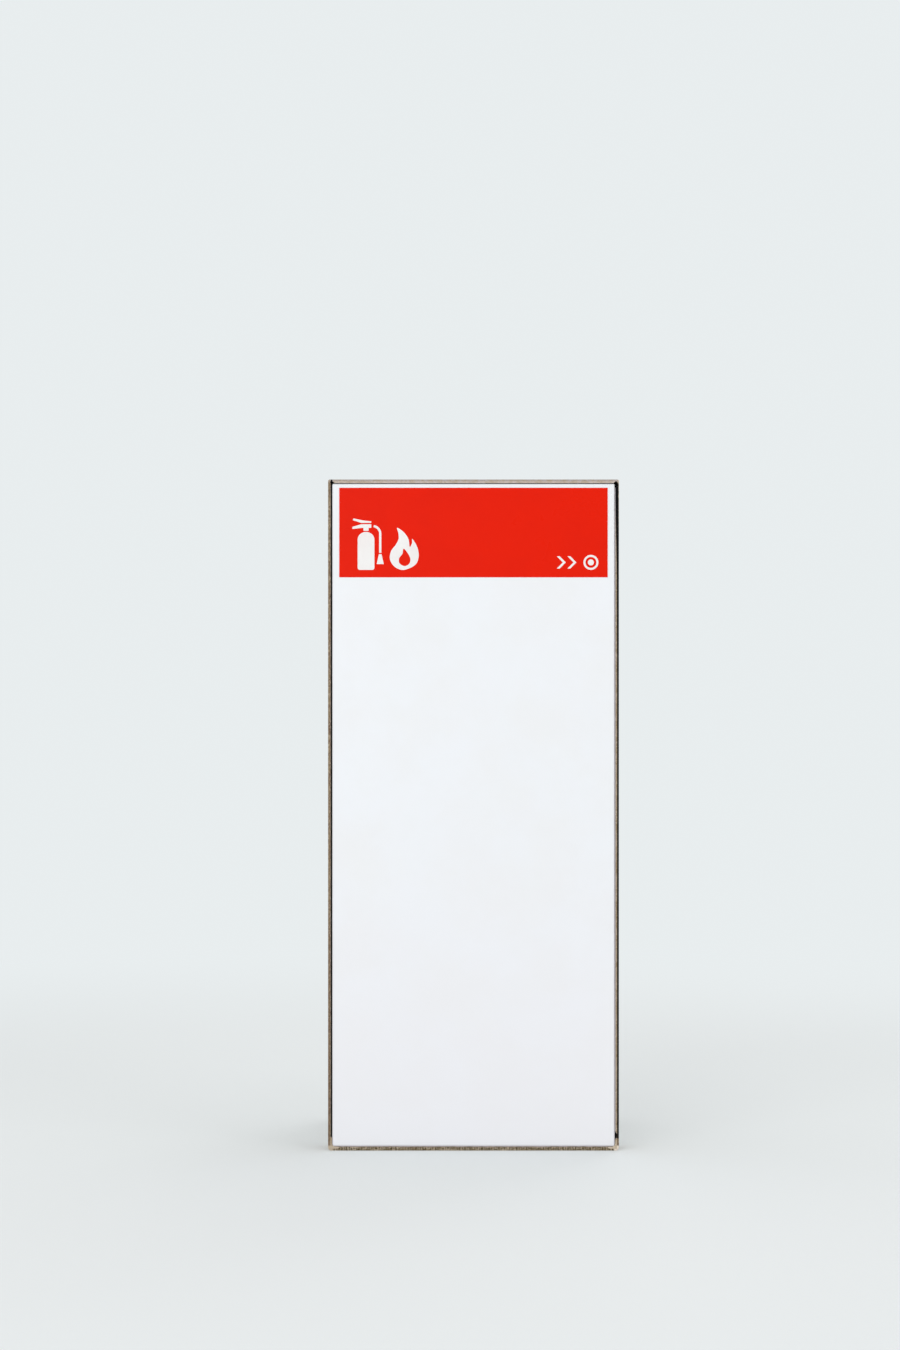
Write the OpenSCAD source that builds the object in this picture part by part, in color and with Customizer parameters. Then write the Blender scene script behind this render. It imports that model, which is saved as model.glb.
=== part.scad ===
// Flush fire extinguisher cabinet. A box of folded sheet steel is let into a wall, a frame of
// bent angle closes it at the front, and a folded pan door swings inside that frame on two
// pins. The door has no handle: a push latch behind its free side holds it and lets it go.
// X runs to the right, Y into the wall and Z up. The origin is on the underside, midway
// across and midway deep, so the front edge of the frame lies at -cab_d / 2.

/* [Cabinet] */
// Width over the frame
cab_w = 260; // [220:1:400]
// Height over the frame
cab_h = 600; // [450:1:900]
// Depth from the front edge of the frame to the back of the box
cab_d = 175; // [120:1:260]
// Sheet thickness of the box
box_t = 1.2; // [0.8:0.1:2.0]
// Width of the folded returns of the box
box_return = 11; // [8:0.5:14]
// Notch left open where two returns of the box meet
corner_relief = 1; // [0.5:0.1:3]
// Inner radius of every fold in sheet
bend_r = 0.5; // [0.3:0.1:1.0]

/* [Frame] */
// Sheet thickness of the frame, whose cut edge shows round the door
frame_t = 1.6; // [1.2:0.1:2.3]
// Reach of the stop flange from the outside of the frame
stop_reach = 15; // [14:0.5:20]
// Clear space between the lips of the door and the stop flange
stop_gap = 7.4; // [6.4:0.1:12]
// Depth of the safe edge that is turned back behind the stop flange
safe_edge = 8; // [5:0.5:14]
// Radius of the frame's two upper corners
frame_top_r = 1.5; // [0.5:0.1:2.5]
// Radius of the frame's two lower corners
frame_low_r = 3; // [0.5:0.1:3.5]

/* [Fixing holes] */
// Diameter of the fixing holes in the sides of the box
fixing_d = 6; // [4:0.5:9]
// Distance of the fixing holes from the front and the back of the box
fixing_inset_y = 32; // [22:1:45]
// Distance of the fixing holes from the top and the bottom
fixing_inset_z = 90; // [40:1:180]

/* [Door] */
// Gap between the door and the frame, all round
door_gap = 2; // [1.5:0.1:3]
// Distance of the door's face behind the front edge of the frame
door_setback = 0.5; // [0.3:0.1:1.5]
// Sheet thickness of the door
door_t = 1.2; // [0.8:0.1:1.6]
// Depth of the door's folded sides
door_d = 15; // [14:0.5:16]
// Width of the lips turned in behind the door
door_lip = 10; // [8:0.5:14]
// Radius of the door's two upper corners
door_top_r = 1.8; // [1.7:0.1:4]
// Radius of the door's two lower corners
door_low_r = 2.7; // [1.7:0.1:4]

// Width of the mitred slit between two lips
lip_slit = 0.8; // [0.4:0.1:2]
// Width of the stiffener's crown
hat_w = 30; // [16:1:80]
// Depth of the stiffener
hat_d = 9; // [5:0.5:11]
// Sheet thickness of the stiffener
hat_t = 1; // [0.8:0.1:1.4]
// Width of each foot of the stiffener
hat_foot = 12; // [8:0.5:20]
// Space between the stiffener's ends and the lips
hat_inset = 6; // [2:0.5:40]

/* [Sign band] */
// Width of the red band
band_w = 240; // [160:1:380]
// Height of the red band
band_h = 80; // [40:1:120]
// Thickness of the red band's film
band_t = 0.3; // [0.1:0.05:0.5]
// Distance of the band below the door's top edge
band_drop = 3.8; // [2.5:0.1:20]

/* [Pivots] */
// Distance of the pins from the door's hinge edge
pivot_in = 12; // [11:0.5:14]
// Distance of the pins behind the door's face
pivot_deep = 5.5; // [5:0.1:6]
// Diameter of the pins
pin_d = 5; // [4:0.1:5.2]
// Length by which a pin passes beyond its hinge plate
pin_tail = 1.5; // [0.5:0.1:3]
// Height and depth of the chamfer at a pin's free end
pin_chamfer = 1; // [0.5:0.1:1.5]
// Running clearance of the pins on the radius
pin_clearance = 0.05; // [0.02:0.01:0.1]
// Room round the pins in the sheet of the door
pin_room = 1; // [0.5:0.1:1.5]
// Diameter of the collar that carries the door
collar_d = 9; // [8:0.5:10]
// Thickness of the hinge plates inside the door
hinge_plate_t = 3; // [2:0.5:4]
// Radius of the hinge plates' free corners
hinge_plate_r = 3; // [1:0.5:5]
// Outer radius of the hinge plates' fold
hinge_fold_r = 4.5; // [4.1:0.1:6]
// Reach of the hinge plates across the door
hinge_plate_w = 26; // [20:1:40]
// Reach of the hinge plates along the hinge side
hinge_plate_h = 34; // [20:1:60]

/* [Push latch] */
// Distance of the latch below the top of the cabinet
latch_drop = 75; // [50:1:250]
// Width of the latch housing
latch_w = 11.5; // [10:0.5:11.5]
// Height of the latch housing
latch_h = 42; // [30:1:60]
// Depth of the latch housing
latch_d = 30; // [20:1:45]
// Radius of the latch housing's edges
latch_r = 2.5; // [1:0.5:4]
// Height of each ear of the latch housing
ear_h = 11; // [9:0.5:20]
// Thickness of the ears
ear_t = 3; // [2:0.5:5]
// Diameter of the screw holes in the ears
ear_hole_d = 4; // [3:0.1:5]
// Diameter of the latch plunger
plunger_d = 6; // [4:0.5:6]
// Wall of the sleeve that guides the plunger through the frame
sleeve_t = 1.2; // [0.8:0.1:1.4]
// Travel of the door when it is pressed
press_travel = 3; // [2:0.1:4]
// Thickness of the strike plate on the door
strike_t = 1.5; // [1:0.1:2]
// Height of the strike plate
strike_h = 32; // [20:1:60]
// Radius of the strike plate's corners
strike_r = 1.5; // [0.5:0.1:3]
// Distance of the strike plate from the fold of the door's lip
strike_margin = 0.8; // [0.3:0.1:1.5]

/* [Bumpers] */
// Diameter of the bumpers at the foot
bumper_d = 9; // [6:0.5:9]
// Diameter of the bumpers at the tip
bumper_tip_d = 6; // [3:0.5:6]
// Distance of the bumpers from the top and the bottom
bumper_inset = 45; // [30:1:60]

/* [Hidden] */
$fn = 48;
// Clear running space of parts that lie close without touching
seat_gap = 0.3;
// Length by which a cutter passes the face that it cuts
over = 1;

// Planes of the cabinet, from front to back
front_y = -cab_d / 2;
back_y = cab_d / 2;
face_y = front_y + door_setback;
lip_y = face_y + door_d;
stop_y = lip_y + stop_gap;
box_y = stop_y + frame_t;
frame_d = box_y - front_y;
side_x = cab_w / 2 - box_t;
// Depth of the sides, floor and roof, which end on the back panel
box_inner_d = back_y - box_t - box_y;

// Outer radii of the folds
box_fold_r = box_t + bend_r;
frame_fold_r = frame_t + bend_r;
door_fold_r = door_t + bend_r;

// Outline of the door
door_w = cab_w - 2 * (frame_t + door_gap);
door_h = cab_h - 2 * (frame_t + door_gap);
door_x = -door_w / 2;
door_z = frame_t + door_gap;

// Axis of the two pins
pin_x = door_x + pivot_in;
pin_y = face_y + pivot_deep;
pin_bore_d = pin_d + 2 * pin_clearance;
// Height of the collar, which keeps the door off the frame
collar_h = door_gap - seat_gap;

// Line through the middle of the right-hand lip of the door
free_lip_x = door_x + door_w - door_lip / 2;
latch_z = cab_h - latch_drop;
// Front face of the latch housing, behind the fold of the box's return
latch_y = box_y + box_fold_r;
sleeve_d = plunger_d + 2 * (pin_clearance + sleeve_t);
// Distance of the ears' screw holes above and below the plunger
ear_hole_z = latch_h / 2 + ear_h / 2;

steel_white = "white";
frame_tan = "tan";
sign_red = "red";
zinc = "silver";
black = "dimgray";

// Swaps the two axes of a flat outline
module swap() {
  rotate(90) mirror([0, 1]) children();
}

// Square of w by h from the origin whose corner at the origin is rounded
module round_corner(w, h, r) {
  translate([r, 0]) square([w - r, h]);
  translate([0, r]) square([w, h - r]);
  translate([r, r]) circle(r);
}

// Bent sheet with legs along +X and +Y and its outer corner at the origin
module bent_angle(leg_x, leg_y, t, r) {
  difference() {
    round_corner(leg_x, leg_y, r);
    translate([t, t]) round_corner(leg_x, leg_y, r - t);
  }
}

// Channel with its web along +Y and both flanges along +X
module bent_channel(flange, web, t, r) {
  bent_angle(flange, web / 2, t, r);
  translate([0, web]) mirror([0, 1]) bent_angle(flange, web / 2, t, r);
}

// Upright rectangle with upper and lower corners of their own radius
module round_front(w, h, r_top, r_low) {
  translate([-w / 2, 0]) {
    translate([r_low, 0]) square([w - 2 * r_low, h / 2]);
    translate([r_top, h / 2]) square([w - 2 * r_top, h / 2]);
    translate([0, r_low]) square([w, h - r_low - r_top]);
    for (x = [r_low, w - r_low]) translate([x, r_low]) circle(r_low);
    for (x = [r_top, w - r_top]) translate([x, h - r_top]) circle(r_top);
  }
}

// Depth profile of a pan, whose four corners are folds
module pan_profile(w, d, r) {
  translate([-w / 2, 0]) {
    translate([r, 0]) square([w - 2 * r, d]);
    translate([0, r]) square([w, d - 2 * r]);
    for (x = [r, w - r], y = [r, d - r]) translate([x, y]) circle(r);
  }
}

// Hat section that stands on y = 0, with its crown towards +Y
module hat_profile(w, d, foot, t, r) {
  for (side = [0, 1]) mirror([side, 0]) {
    translate([w / 2 - t, 0]) bent_angle(foot, d / 2, t, r);
    translate([w / 2, d]) rotate(180) bent_angle(w / 2, d / 2, t, r);
  }
}

// Stands a flat outline up, so that its second axis runs along +Z, and gives it depth along +Y
module upright(depth) {
  translate([0, depth, 0]) rotate([90, 0, 0]) linear_extrude(depth) children();
}

// Block with folded edges and rounded corners, its face at y = 0 and its foot at z = 0
module pan_block(w, h, d, fold, r_top, r_low) {
  intersection() {
    linear_extrude(h) pan_profile(w, d, fold);
    translate([-w / 2, 0, h / 2]) rotate([90, 0, 90]) linear_extrude(w)
      swap() pan_profile(h, d, fold);
    upright(d) round_front(w, h, r_top, r_low);
  }
}

// Outline of one side of the frame as seen from the front, with mitred ends
module mitre(len) {
  polygon([[0, 0], [stop_reach, stop_reach], [stop_reach, len - stop_reach], [0, len]]);
}

// Section of the frame, with the wall side on x = 0 and the stop flange's back on y = 0: a leg
// that runs forward, a stop flange, and a safe edge that runs back from the flange
module frame_section() {
  mirror([0, 1]) bent_angle(stop_reach / 2, frame_d, frame_t, frame_fold_r);
  translate([stop_reach, -frame_t]) mirror([1, 0])
    bent_angle(stop_reach / 2, safe_edge + frame_t, frame_t, frame_fold_r);
}

// Front outline of the whole frame, as deep as the frame with its safe edge
module frame_block(r_top, r_low) {
  translate([0, front_y, 0]) upright(frame_d + safe_edge) round_front(cab_w, cab_h, r_top, r_low);
}

// One upright of the frame, at the left, with its foot at z = 0
module frame_upright() {
  intersection() {
    translate([-cab_w / 2, box_y, 0]) linear_extrude(cab_h) frame_section();
    translate([-cab_w / 2, front_y, 0]) upright(frame_d + safe_edge) mitre(cab_h);
    frame_block(frame_top_r, frame_low_r);
  }
}

// The lower rail of the frame, with outer corners of the given radius
module frame_rail(r) {
  intersection() {
    translate([-cab_w / 2, box_y, 0]) rotate([90, 0, 90]) linear_extrude(cab_w)
      swap() frame_section();
    translate([-cab_w / 2, front_y, 0]) upright(frame_d + safe_edge) swap() mitre(cab_w);
    frame_block(r, r);
  }
}

// Moves what stands on the cabinet's floor up under its roof, upside down
module at_top() {
  translate([0, 0, cab_h]) mirror([0, 0, 1]) children();
}

// Upright hole through a rail of the frame on the axis of the pins
module pin_hole(d, h) {
  translate([pin_x, pin_y, -over]) cylinder(d = d, h = h + 2 * over);
}

// Hole for the latch plunger, from the front through the frame and the box
module plunger_hole() {
  translate([free_lip_x, stop_y - over, latch_z]) rotate([-90, 0, 0])
    cylinder(d = sleeve_d + seat_gap, h = frame_t + box_t + 2 * over);
}

module back_panel() {
  color(steel_white) translate([-cab_w / 2, back_y - box_t, 0]) cube([cab_w, box_t, cab_h]);
}

// Side of the box: the web takes the full height, and its returns stop short of the corners
module side_panel() {
  color(steel_white) difference() {
    translate([-cab_w / 2, box_y, 0]) linear_extrude(cab_h)
      bent_channel(box_return, box_inner_d, box_t, box_fold_r);
    for (z = [-over, cab_h - box_t - corner_relief])
      translate([-side_x, box_y - over, z]) cube([box_return, cab_d, box_t + corner_relief + over]);
    for (y = [box_y + fixing_inset_y, back_y - fixing_inset_y], z = [fixing_inset_z, cab_h - fixing_inset_z])
      translate([-cab_w / 2 - over, y, z]) rotate([0, 90, 0])
        cylinder(d = fixing_d, h = box_t + 2 * over);
  }
}

module left_side_panel() {
  side_panel();
}

module right_side_panel() {
  difference() {
    mirror([1, 0, 0]) side_panel();
    plunger_hole();
  }
}

// Floor of the box, a tray with a return at the front and the back and a flange on each side
module floor_tray() {
  tray_w = 2 * side_x;
  return_w = cab_w - 2 * (box_return + corner_relief);
  flange_y = box_y + box_fold_r + corner_relief;
  flange_l = box_inner_d - 2 * (box_fold_r + corner_relief);
  color(steel_white) {
    intersection() {
      translate([-side_x, box_y, 0]) rotate([90, 0, 90]) linear_extrude(tray_w)
        swap() bent_channel(box_return, box_inner_d, box_t, box_fold_r);
      union() {
        translate([-side_x, box_y, 0]) cube([tray_w, box_inner_d, box_t]);
        translate([-return_w / 2, box_y, 0]) cube([return_w, box_inner_d, box_return]);
      }
    }
    for (x = [-side_x, side_x - box_t])
      translate([x, flange_y, 0]) cube([box_t, flange_l, box_return]);
  }
}

module bottom_panel() {
  floor_tray();
}

module top_panel() {
  at_top() floor_tray();
}

module frame_left() {
  color(frame_tan) frame_upright();
}

module frame_right() {
  color(frame_tan) difference() {
    mirror([1, 0, 0]) frame_upright();
    plunger_hole();
  }
}

module frame_bottom() {
  color(frame_tan) difference() {
    frame_rail(frame_low_r);
    pin_hole(pin_bore_d, frame_t);
  }
}

module frame_top() {
  color(frame_tan) at_top() difference() {
    frame_rail(frame_top_r);
    pin_hole(pin_bore_d, frame_t);
  }
}

// Pin that stands up through the lower rail, with a collar under the door and a chamfered end
module pivot_pin() {
  pin_h = door_z + door_t + hinge_plate_t + pin_tail;
  color(zinc) translate([pin_x, pin_y, 0]) {
    cylinder(d = pin_d, h = pin_h);
    translate([0, 0, frame_t]) cylinder(d = collar_d, h = collar_h);
    translate([0, 0, pin_h])
      cylinder(d1 = pin_d, d2 = pin_d - 2 * pin_chamfer, h = pin_chamfer);
  }
}

module lower_pivot_pin() {
  pivot_pin();
}

module upper_pivot_pin() {
  at_top() pivot_pin();
}

// Spring housing of the latch, screwed to the side of the box behind the frame. A sleeve on it
// reaches forward through the box and the frame and guides the plunger.
module latch_housing() {
  sleeve_l = latch_y - stop_y;
  color(black) difference() {
    union() {
      translate([side_x, latch_y + latch_d, latch_z]) rotate([90, 0, 0]) linear_extrude(latch_d)
        mirror([1, 0]) translate([0, -latch_h / 2]) latch_outline();
      translate([side_x - ear_t, latch_y + latch_d / 2, latch_z]) rotate([0, 90, 0])
        linear_extrude(ear_t) for (s = [-1, 1]) {
          translate([s * (latch_h / 2 + ear_h - latch_d / 4), 0]) circle(latch_d / 4);
          translate([s * (latch_h / 4 + ear_h / 2 - latch_d / 8), 0])
            square([latch_h / 2 + ear_h - latch_d / 4, latch_d / 2], center = true);
        }
      translate([free_lip_x, stop_y, latch_z]) rotate([-90, 0, 0])
        cylinder(d = sleeve_d, h = sleeve_l + over);
    }
    translate([free_lip_x, stop_y - over, latch_z]) rotate([-90, 0, 0])
      cylinder(d = plunger_d + 2 * pin_clearance, h = sleeve_l + latch_d / 2 + over);
    for (s = [-1, 1])
      translate([side_x - latch_w, latch_y + latch_d / 2, latch_z + s * ear_hole_z])
        rotate([0, 90, 0]) cylinder(d = ear_hole_d, h = latch_w + over);
  }
}

// Section of the latch housing across its depth, with rounded edges on the side away from the box
module latch_outline() {
  square([latch_w - latch_r, latch_h]);
  translate([0, latch_r]) square([latch_w, latch_h - 2 * latch_r]);
  for (z = [latch_r, latch_h - latch_r]) translate([latch_w - latch_r, z]) circle(latch_r);
}

// Round bar with a magnet in its tip, which the strike plate lies against
module latch_plunger() {
  tip_y = lip_y + strike_t + seat_gap;
  bar_l = latch_y + latch_d / 2 - tip_y;
  color(zinc) translate([free_lip_x, tip_y, latch_z]) rotate([-90, 0, 0])
    cylinder(d = plunger_d, h = bar_l);
}

// Rubber bumper on the stop flange, short enough to let the door be pressed in
module bumper(z) {
  color(black) translate([free_lip_x, stop_y, z]) rotate([90, 0, 0])
    cylinder(d1 = bumper_d, d2 = bumper_tip_d, h = stop_gap - press_travel);
}

module upper_bumper() {
  bumper(cab_h - bumper_inset);
}

module lower_bumper() {
  bumper(bumper_inset);
}

module door_pan() {
  color(steel_white) translate([0, face_y, door_z]) difference() {
    pan_block(door_w, door_h, door_d, door_fold_r, door_top_r, door_low_r);
    translate([0, door_t, door_t])
      pan_block(door_w - 2 * door_t, door_h - 2 * door_t, door_d - 2 * door_t,
        door_fold_r - door_t, door_top_r - door_t, door_low_r - door_t);
    translate([-door_w / 2 + door_lip, door_t, door_lip])
      cube([door_w - 2 * door_lip, door_d, door_h - 2 * door_lip]);
    for (x = [0, 1], z = [0, 1])
      translate([0, 0, z * door_h]) mirror([x, 0, 0]) mirror([0, 0, z]) lip_mitre();
    for (z = [-over, door_h - door_t - over])
      translate([pin_x, pivot_deep, z]) cylinder(d = pin_d + 2 * pin_room, h = door_t + 2 * over);
  }
}

// Slit along the mitre where the lips of the door's lower right corner meet
module lip_mitre() {
  slit_l = (door_lip - door_fold_r) * sqrt(2);
  translate([door_w / 2 - door_lip, door_d - door_t - over, door_lip]) rotate([0, 45, 0])
    translate([-over, 0, -lip_slit / 2]) cube([slit_l + over, door_t + 2 * over, lip_slit]);
}

module sign_band() {
  color(sign_red) translate([-band_w / 2, face_y - band_t, door_z + door_h - band_drop - band_h])
    cube([band_w, band_t, band_h]);
}

// Hat-shaped stiffener down the middle of the door, behind its face
module door_stiffener() {
  color(steel_white) translate([0, face_y + door_t, door_z + door_lip + hat_inset])
    linear_extrude(door_h - 2 * (door_lip + hat_inset))
      hat_profile(hat_w, hat_d, hat_foot, hat_t, hat_t + bend_r);
}

// Bent plate in the lower hinge corner of the door, with the bore that runs on the pin
module hinge_plate() {
  plate_d = door_d - 2 * door_fold_r;
  color(zinc) difference() {
    translate([door_x + door_t, face_y + door_fold_r, door_z + door_t]) intersection() {
      upright(plate_d) bent_angle(hinge_plate_w, hinge_plate_h, hinge_plate_t, hinge_fold_r);
      linear_extrude(hinge_plate_h) round_end(hinge_plate_w, plate_d, hinge_plate_r);
      rotate([90, 0, 90]) linear_extrude(hinge_plate_w) swap()
        round_end(hinge_plate_h, plate_d, hinge_plate_r);
    }
    translate([pin_x, pin_y, door_z]) cylinder(d = pin_bore_d, h = door_t + 2 * hinge_plate_t);
  }
}

// Strip of l by w whose two corners at the far end are rounded
module round_end(l, w, r) {
  square([l - r, w]);
  translate([0, r]) square([l, w - 2 * r]);
  for (y = [r, w - r]) translate([l - r, y]) circle(r);
}

module lower_hinge_plate() {
  hinge_plate();
}

module upper_hinge_plate() {
  at_top() hinge_plate();
}

// Plate on the back of the door's free lip, for the magnet in the latch plunger
module strike_plate() {
  strike_w = door_lip - door_fold_r - strike_margin;
  color(zinc) translate([free_lip_x - door_lip / 2, lip_y, latch_z - strike_h / 2])
    upright(strike_t) swap() translate([strike_h / 2, 0]) {
      round_end(strike_h / 2, strike_w, strike_r);
      mirror([1, 0]) round_end(strike_h / 2, strike_w, strike_r);
    }
}

back_panel();
left_side_panel();
right_side_panel();
top_panel();
bottom_panel();
frame_left();
frame_right();
frame_top();
frame_bottom();
upper_pivot_pin();
lower_pivot_pin();
latch_housing();
latch_plunger();
upper_bumper();
lower_bumper();
door_pan();
sign_band();
door_stiffener();
upper_hinge_plate();
lower_hinge_plate();
strike_plate();
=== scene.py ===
"""Finishes, sign, fasteners, welds and dirt of a flush fire extinguisher cabinet.

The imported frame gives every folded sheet, pin and latch piece. This script paints them, and adds what
is too small for the frame. Sizes are in metres, in the frame's own place."""
import math

import bmesh
import bpy
from bpy.props import FloatProperty, FloatVectorProperty, IntProperty, PointerProperty
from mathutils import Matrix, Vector, noise
from mathutils.geometry import tessellate_polygon


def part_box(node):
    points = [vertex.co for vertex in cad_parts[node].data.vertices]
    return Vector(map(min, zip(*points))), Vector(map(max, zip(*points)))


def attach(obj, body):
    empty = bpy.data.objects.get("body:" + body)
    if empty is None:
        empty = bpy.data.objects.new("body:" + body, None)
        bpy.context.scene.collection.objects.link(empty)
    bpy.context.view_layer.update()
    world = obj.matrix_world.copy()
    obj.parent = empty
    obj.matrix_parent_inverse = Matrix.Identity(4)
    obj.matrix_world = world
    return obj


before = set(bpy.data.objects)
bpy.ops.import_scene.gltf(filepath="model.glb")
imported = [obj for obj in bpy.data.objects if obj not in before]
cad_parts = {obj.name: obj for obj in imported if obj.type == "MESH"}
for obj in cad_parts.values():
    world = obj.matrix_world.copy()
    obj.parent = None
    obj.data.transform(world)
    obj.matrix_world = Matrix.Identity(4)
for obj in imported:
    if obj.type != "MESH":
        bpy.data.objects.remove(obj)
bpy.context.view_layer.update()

bl_info = {
    "name": "Fire extinguisher cabinet",
    "version": (1, 0, 0),
    "blender": (4, 5, 0),
    "location": "3D View > Sidebar > Cabinet",
    "description": "Paint, sign, welds, fasteners and dirt of a flush fire extinguisher cabinet",
    "category": "Object",
}

MM = 0.001

# Places that the frame gives, and the sheet thicknesses behind them
DOOR_LOW, DOOR_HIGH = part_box("door_pan")
BAND_LOW, BAND_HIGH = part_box("sign_band")
FRAME_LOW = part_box("frame_left")[0]
FRAME_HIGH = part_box("frame_right")[1]
BOX_LOW, BOX_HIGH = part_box("left_side_panel")[0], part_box("right_side_panel")[1]
STRIKE_LOW, STRIKE_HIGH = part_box("strike_plate")
LATCH_LOW, LATCH_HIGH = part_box("latch_housing")
STIFFENER_LOW, STIFFENER_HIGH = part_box("door_stiffener")
HINGE_LOW, HINGE_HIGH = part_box("lower_hinge_plate")
FLANGE_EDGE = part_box("frame_bottom")[1].z
CABINET_TOP = FRAME_HIGH.z + FRAME_LOW.z
FRAME_SHEET = 1.6 * MM
BOX_SHEET = 1.2 * MM
STOP_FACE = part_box("lower_bumper")[1].y


class PaintSettings(bpy.types.PropertyGroup):
    """Coats of paint on the door, the box and the frame"""
    door_colour: FloatVectorProperty(
        name="Door", description="White coat of the door", subtype="COLOR", size=3, min=0, max=1,
        default=(0.85, 0.874, 0.91))
    box_colour: FloatVectorProperty(
        name="Box", description="Pale coat of the box", subtype="COLOR", size=3, min=0, max=1,
        default=(0.76, 0.77, 0.755))
    frame_colour: FloatVectorProperty(
        name="Frame", description="Beige coat of the frame behind its dirty edge", subtype="COLOR",
        size=3, min=0, max=1, default=(0.47, 0.42, 0.365))
    peel_size: FloatProperty(
        name="Peel", description="Distance between the waves of the sprayed coat", unit="LENGTH",
        min=0.0004, max=0.004, default=0.0013)
    peel_depth: FloatProperty(
        name="Peel depth", description="Height of the waves of the sprayed coat", unit="LENGTH",
        min=0, max=0.0001, precision=6, default=0.00002)


class SignSettings(bpy.types.PropertyGroup):
    """Red band and its plain white marks"""
    red: FloatVectorProperty(
        name="Red", description="Colour of the band", subtype="COLOR", size=3, min=0, max=1,
        default=(0.785, 0.0125, 0.001))
    white: FloatVectorProperty(
        name="White", description="Colour of the marks", subtype="COLOR", size=3, min=0, max=1,
        default=(0.88, 0.88, 0.87))
    mark_height: FloatProperty(
        name="Mark height", description="Height of the extinguisher on the band", unit="LENGTH",
        min=0.02, max=0.07, default=0.046)
    film: FloatProperty(
        name="Film", description="Thickness of the marks' film", unit="LENGTH", min=0.00002,
        max=0.00015, precision=5, default=0.00008)


class EdgeSettings(bpy.types.PropertyGroup):
    """Dirty edge of the frame, with old filler and crumbs, and the painted shade of the gap round the
    door
    """
    tan: FloatVectorProperty(
        name="Tan", description="Main colour of the edge", subtype="COLOR", size=3, min=0, max=1,
        default=(0.275, 0.205, 0.120))
    brown: FloatVectorProperty(
        name="Brown", description="Shaded colour of the edge", subtype="COLOR", size=3, min=0,
        max=1, default=(0.185, 0.118, 0.075))
    olive: FloatVectorProperty(
        name="Olive", description="Darkest grains of the edge", subtype="COLOR", size=3, min=0,
        max=1, default=(0.060, 0.048, 0.018))
    beige: FloatVectorProperty(
        name="Beige", description="Lightest grains and filler", subtype="COLOR", size=3, min=0,
        max=1, default=(0.54, 0.45, 0.34))
    chalk: FloatVectorProperty(
        name="Chalk", description="Palest filler, in the lower corner at the latch side",
        subtype="COLOR", size=3, min=0, max=1, default=(0.80, 0.70, 0.59))
    clay: FloatVectorProperty(
        name="Clay", description="Smooth filler above and beside the door", subtype="COLOR",
        size=3, min=0, max=1, default=(0.52, 0.42, 0.32))
    # Painted shade: mauve is the tone of filler in the shade of the door; it also tints the upper filler
    # and the grain of the upper edge
    mauve: FloatVectorProperty(
        name="Mauve", description="Filler in the shade of the door", subtype="COLOR", size=3,
        min=0, max=1, default=(0.565, 0.505, 0.525))
    # Painted shade: this black colours the gap round the door and the black lines beside it
    shade_black: FloatVectorProperty(
        name="Soot", description="Black dirt in the gap round the door", subtype="COLOR", size=3,
        min=0, max=1, default=(0.007, 0.007, 0.008))
    grain: FloatProperty(
        name="Grain", description="Size of the grains", unit="LENGTH", min=0.0002, max=0.003,
        default=0.0011)
    crumb_size: FloatProperty(
        name="Crumb", description="Largest size of a loose crumb", unit="LENGTH", min=0.0002,
        max=0.002, default=0.0009)
    crumb_pitch: FloatProperty(
        name="Crumb pitch", description="Distance from crumb to crumb along the gap",
        unit="LENGTH", min=0.0001, max=0.01, default=0.0003)
    bead_size: FloatProperty(
        name="Bead", description="Largest size of a lump of filler at the front of the gap",
        unit="LENGTH", min=0.0005, max=0.0025, default=0.0017)
    bead_pitch: FloatProperty(
        name="Bead pitch", description="Distance from lump to lump along the gap", unit="LENGTH",
        min=0.0005, max=0.01, default=0.0016)
    seed: IntProperty(name="Seed", description="Layout of the crumbs", min=0, default=7)


class FastenerSettings(bpy.types.PropertyGroup):
    """Spot welds, weld beads, screws and rivets"""
    weld_diameter: FloatProperty(
        name="Spot weld", description="Diameter of a spot weld's mark", unit="LENGTH", min=0.002,
        max=0.01, default=0.0052)
    weld_rim: FloatProperty(
        name="Weld rim", description="Height of the rim round a spot weld", unit="LENGTH", min=0,
        max=0.0005, precision=5, default=0.00012)
    bead_width: FloatProperty(
        name="Bead", description="Width of a ground weld bead", unit="LENGTH", min=0.001,
        max=0.005, default=0.0022)
    screw_head: FloatProperty(
        name="Screw head", description="Diameter of a screw's head", unit="LENGTH", min=0.004,
        max=0.012, default=0.0076)
    rivet_head: FloatProperty(
        name="Rivet head", description="Diameter of a rivet's head", unit="LENGTH", min=0.003,
        max=0.01, default=0.0058)


class StageSettings(bpy.types.PropertyGroup):
    """Floor, light and camera"""
    floor_colour: FloatVectorProperty(
        name="Floor", description="Colour of the floor and of what lies behind it",
        subtype="COLOR", size=3, min=0, max=1, default=(0.81, 0.85, 0.86))
    fill: FloatProperty(
        name="Fill", description="Strength of the light from all round", min=0, max=2,
        default=0.62)
    lamps: FloatProperty(
        name="Lamps", description="Strength of the lamps", min=0, max=4, default=0.462)
    lens: FloatProperty(
        name="Lens", description="Focal length in millimetres", min=20, max=200, default=70)


# Nodes

def add_node(tree, kind, inputs=None, **settings):
    """Adds a node with its options, and gives each input a value or a link."""
    new = tree.nodes.new(kind)
    for key, value in settings.items():
        setattr(new, key, value)
    for key, value in (inputs or {}).items():
        socket = new.inputs[key]
        if isinstance(value, bpy.types.NodeSocket):
            tree.links.new(value, socket)
        else:
            socket.default_value = value
    return new


def sum_of(tree, operation, first, second=0.0, third=0.0, clamp=False):
    """Output of a Math node."""
    inputs = {0: first, 1: second, 2: third}
    return add_node(tree, "ShaderNodeMath", inputs, operation=operation, use_clamp=clamp).outputs[0]


def ramp(tree, value, low, high, to_low=0.0, to_high=1.0):
    """Value between low and high turned smoothly into to_low to to_high."""
    inputs = {"Value": value, "From Min": low, "From Max": high, "To Min": to_low, "To Max": to_high}
    return add_node(tree, "ShaderNodeMapRange", inputs, interpolation_type="SMOOTHSTEP").outputs[0]


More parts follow.
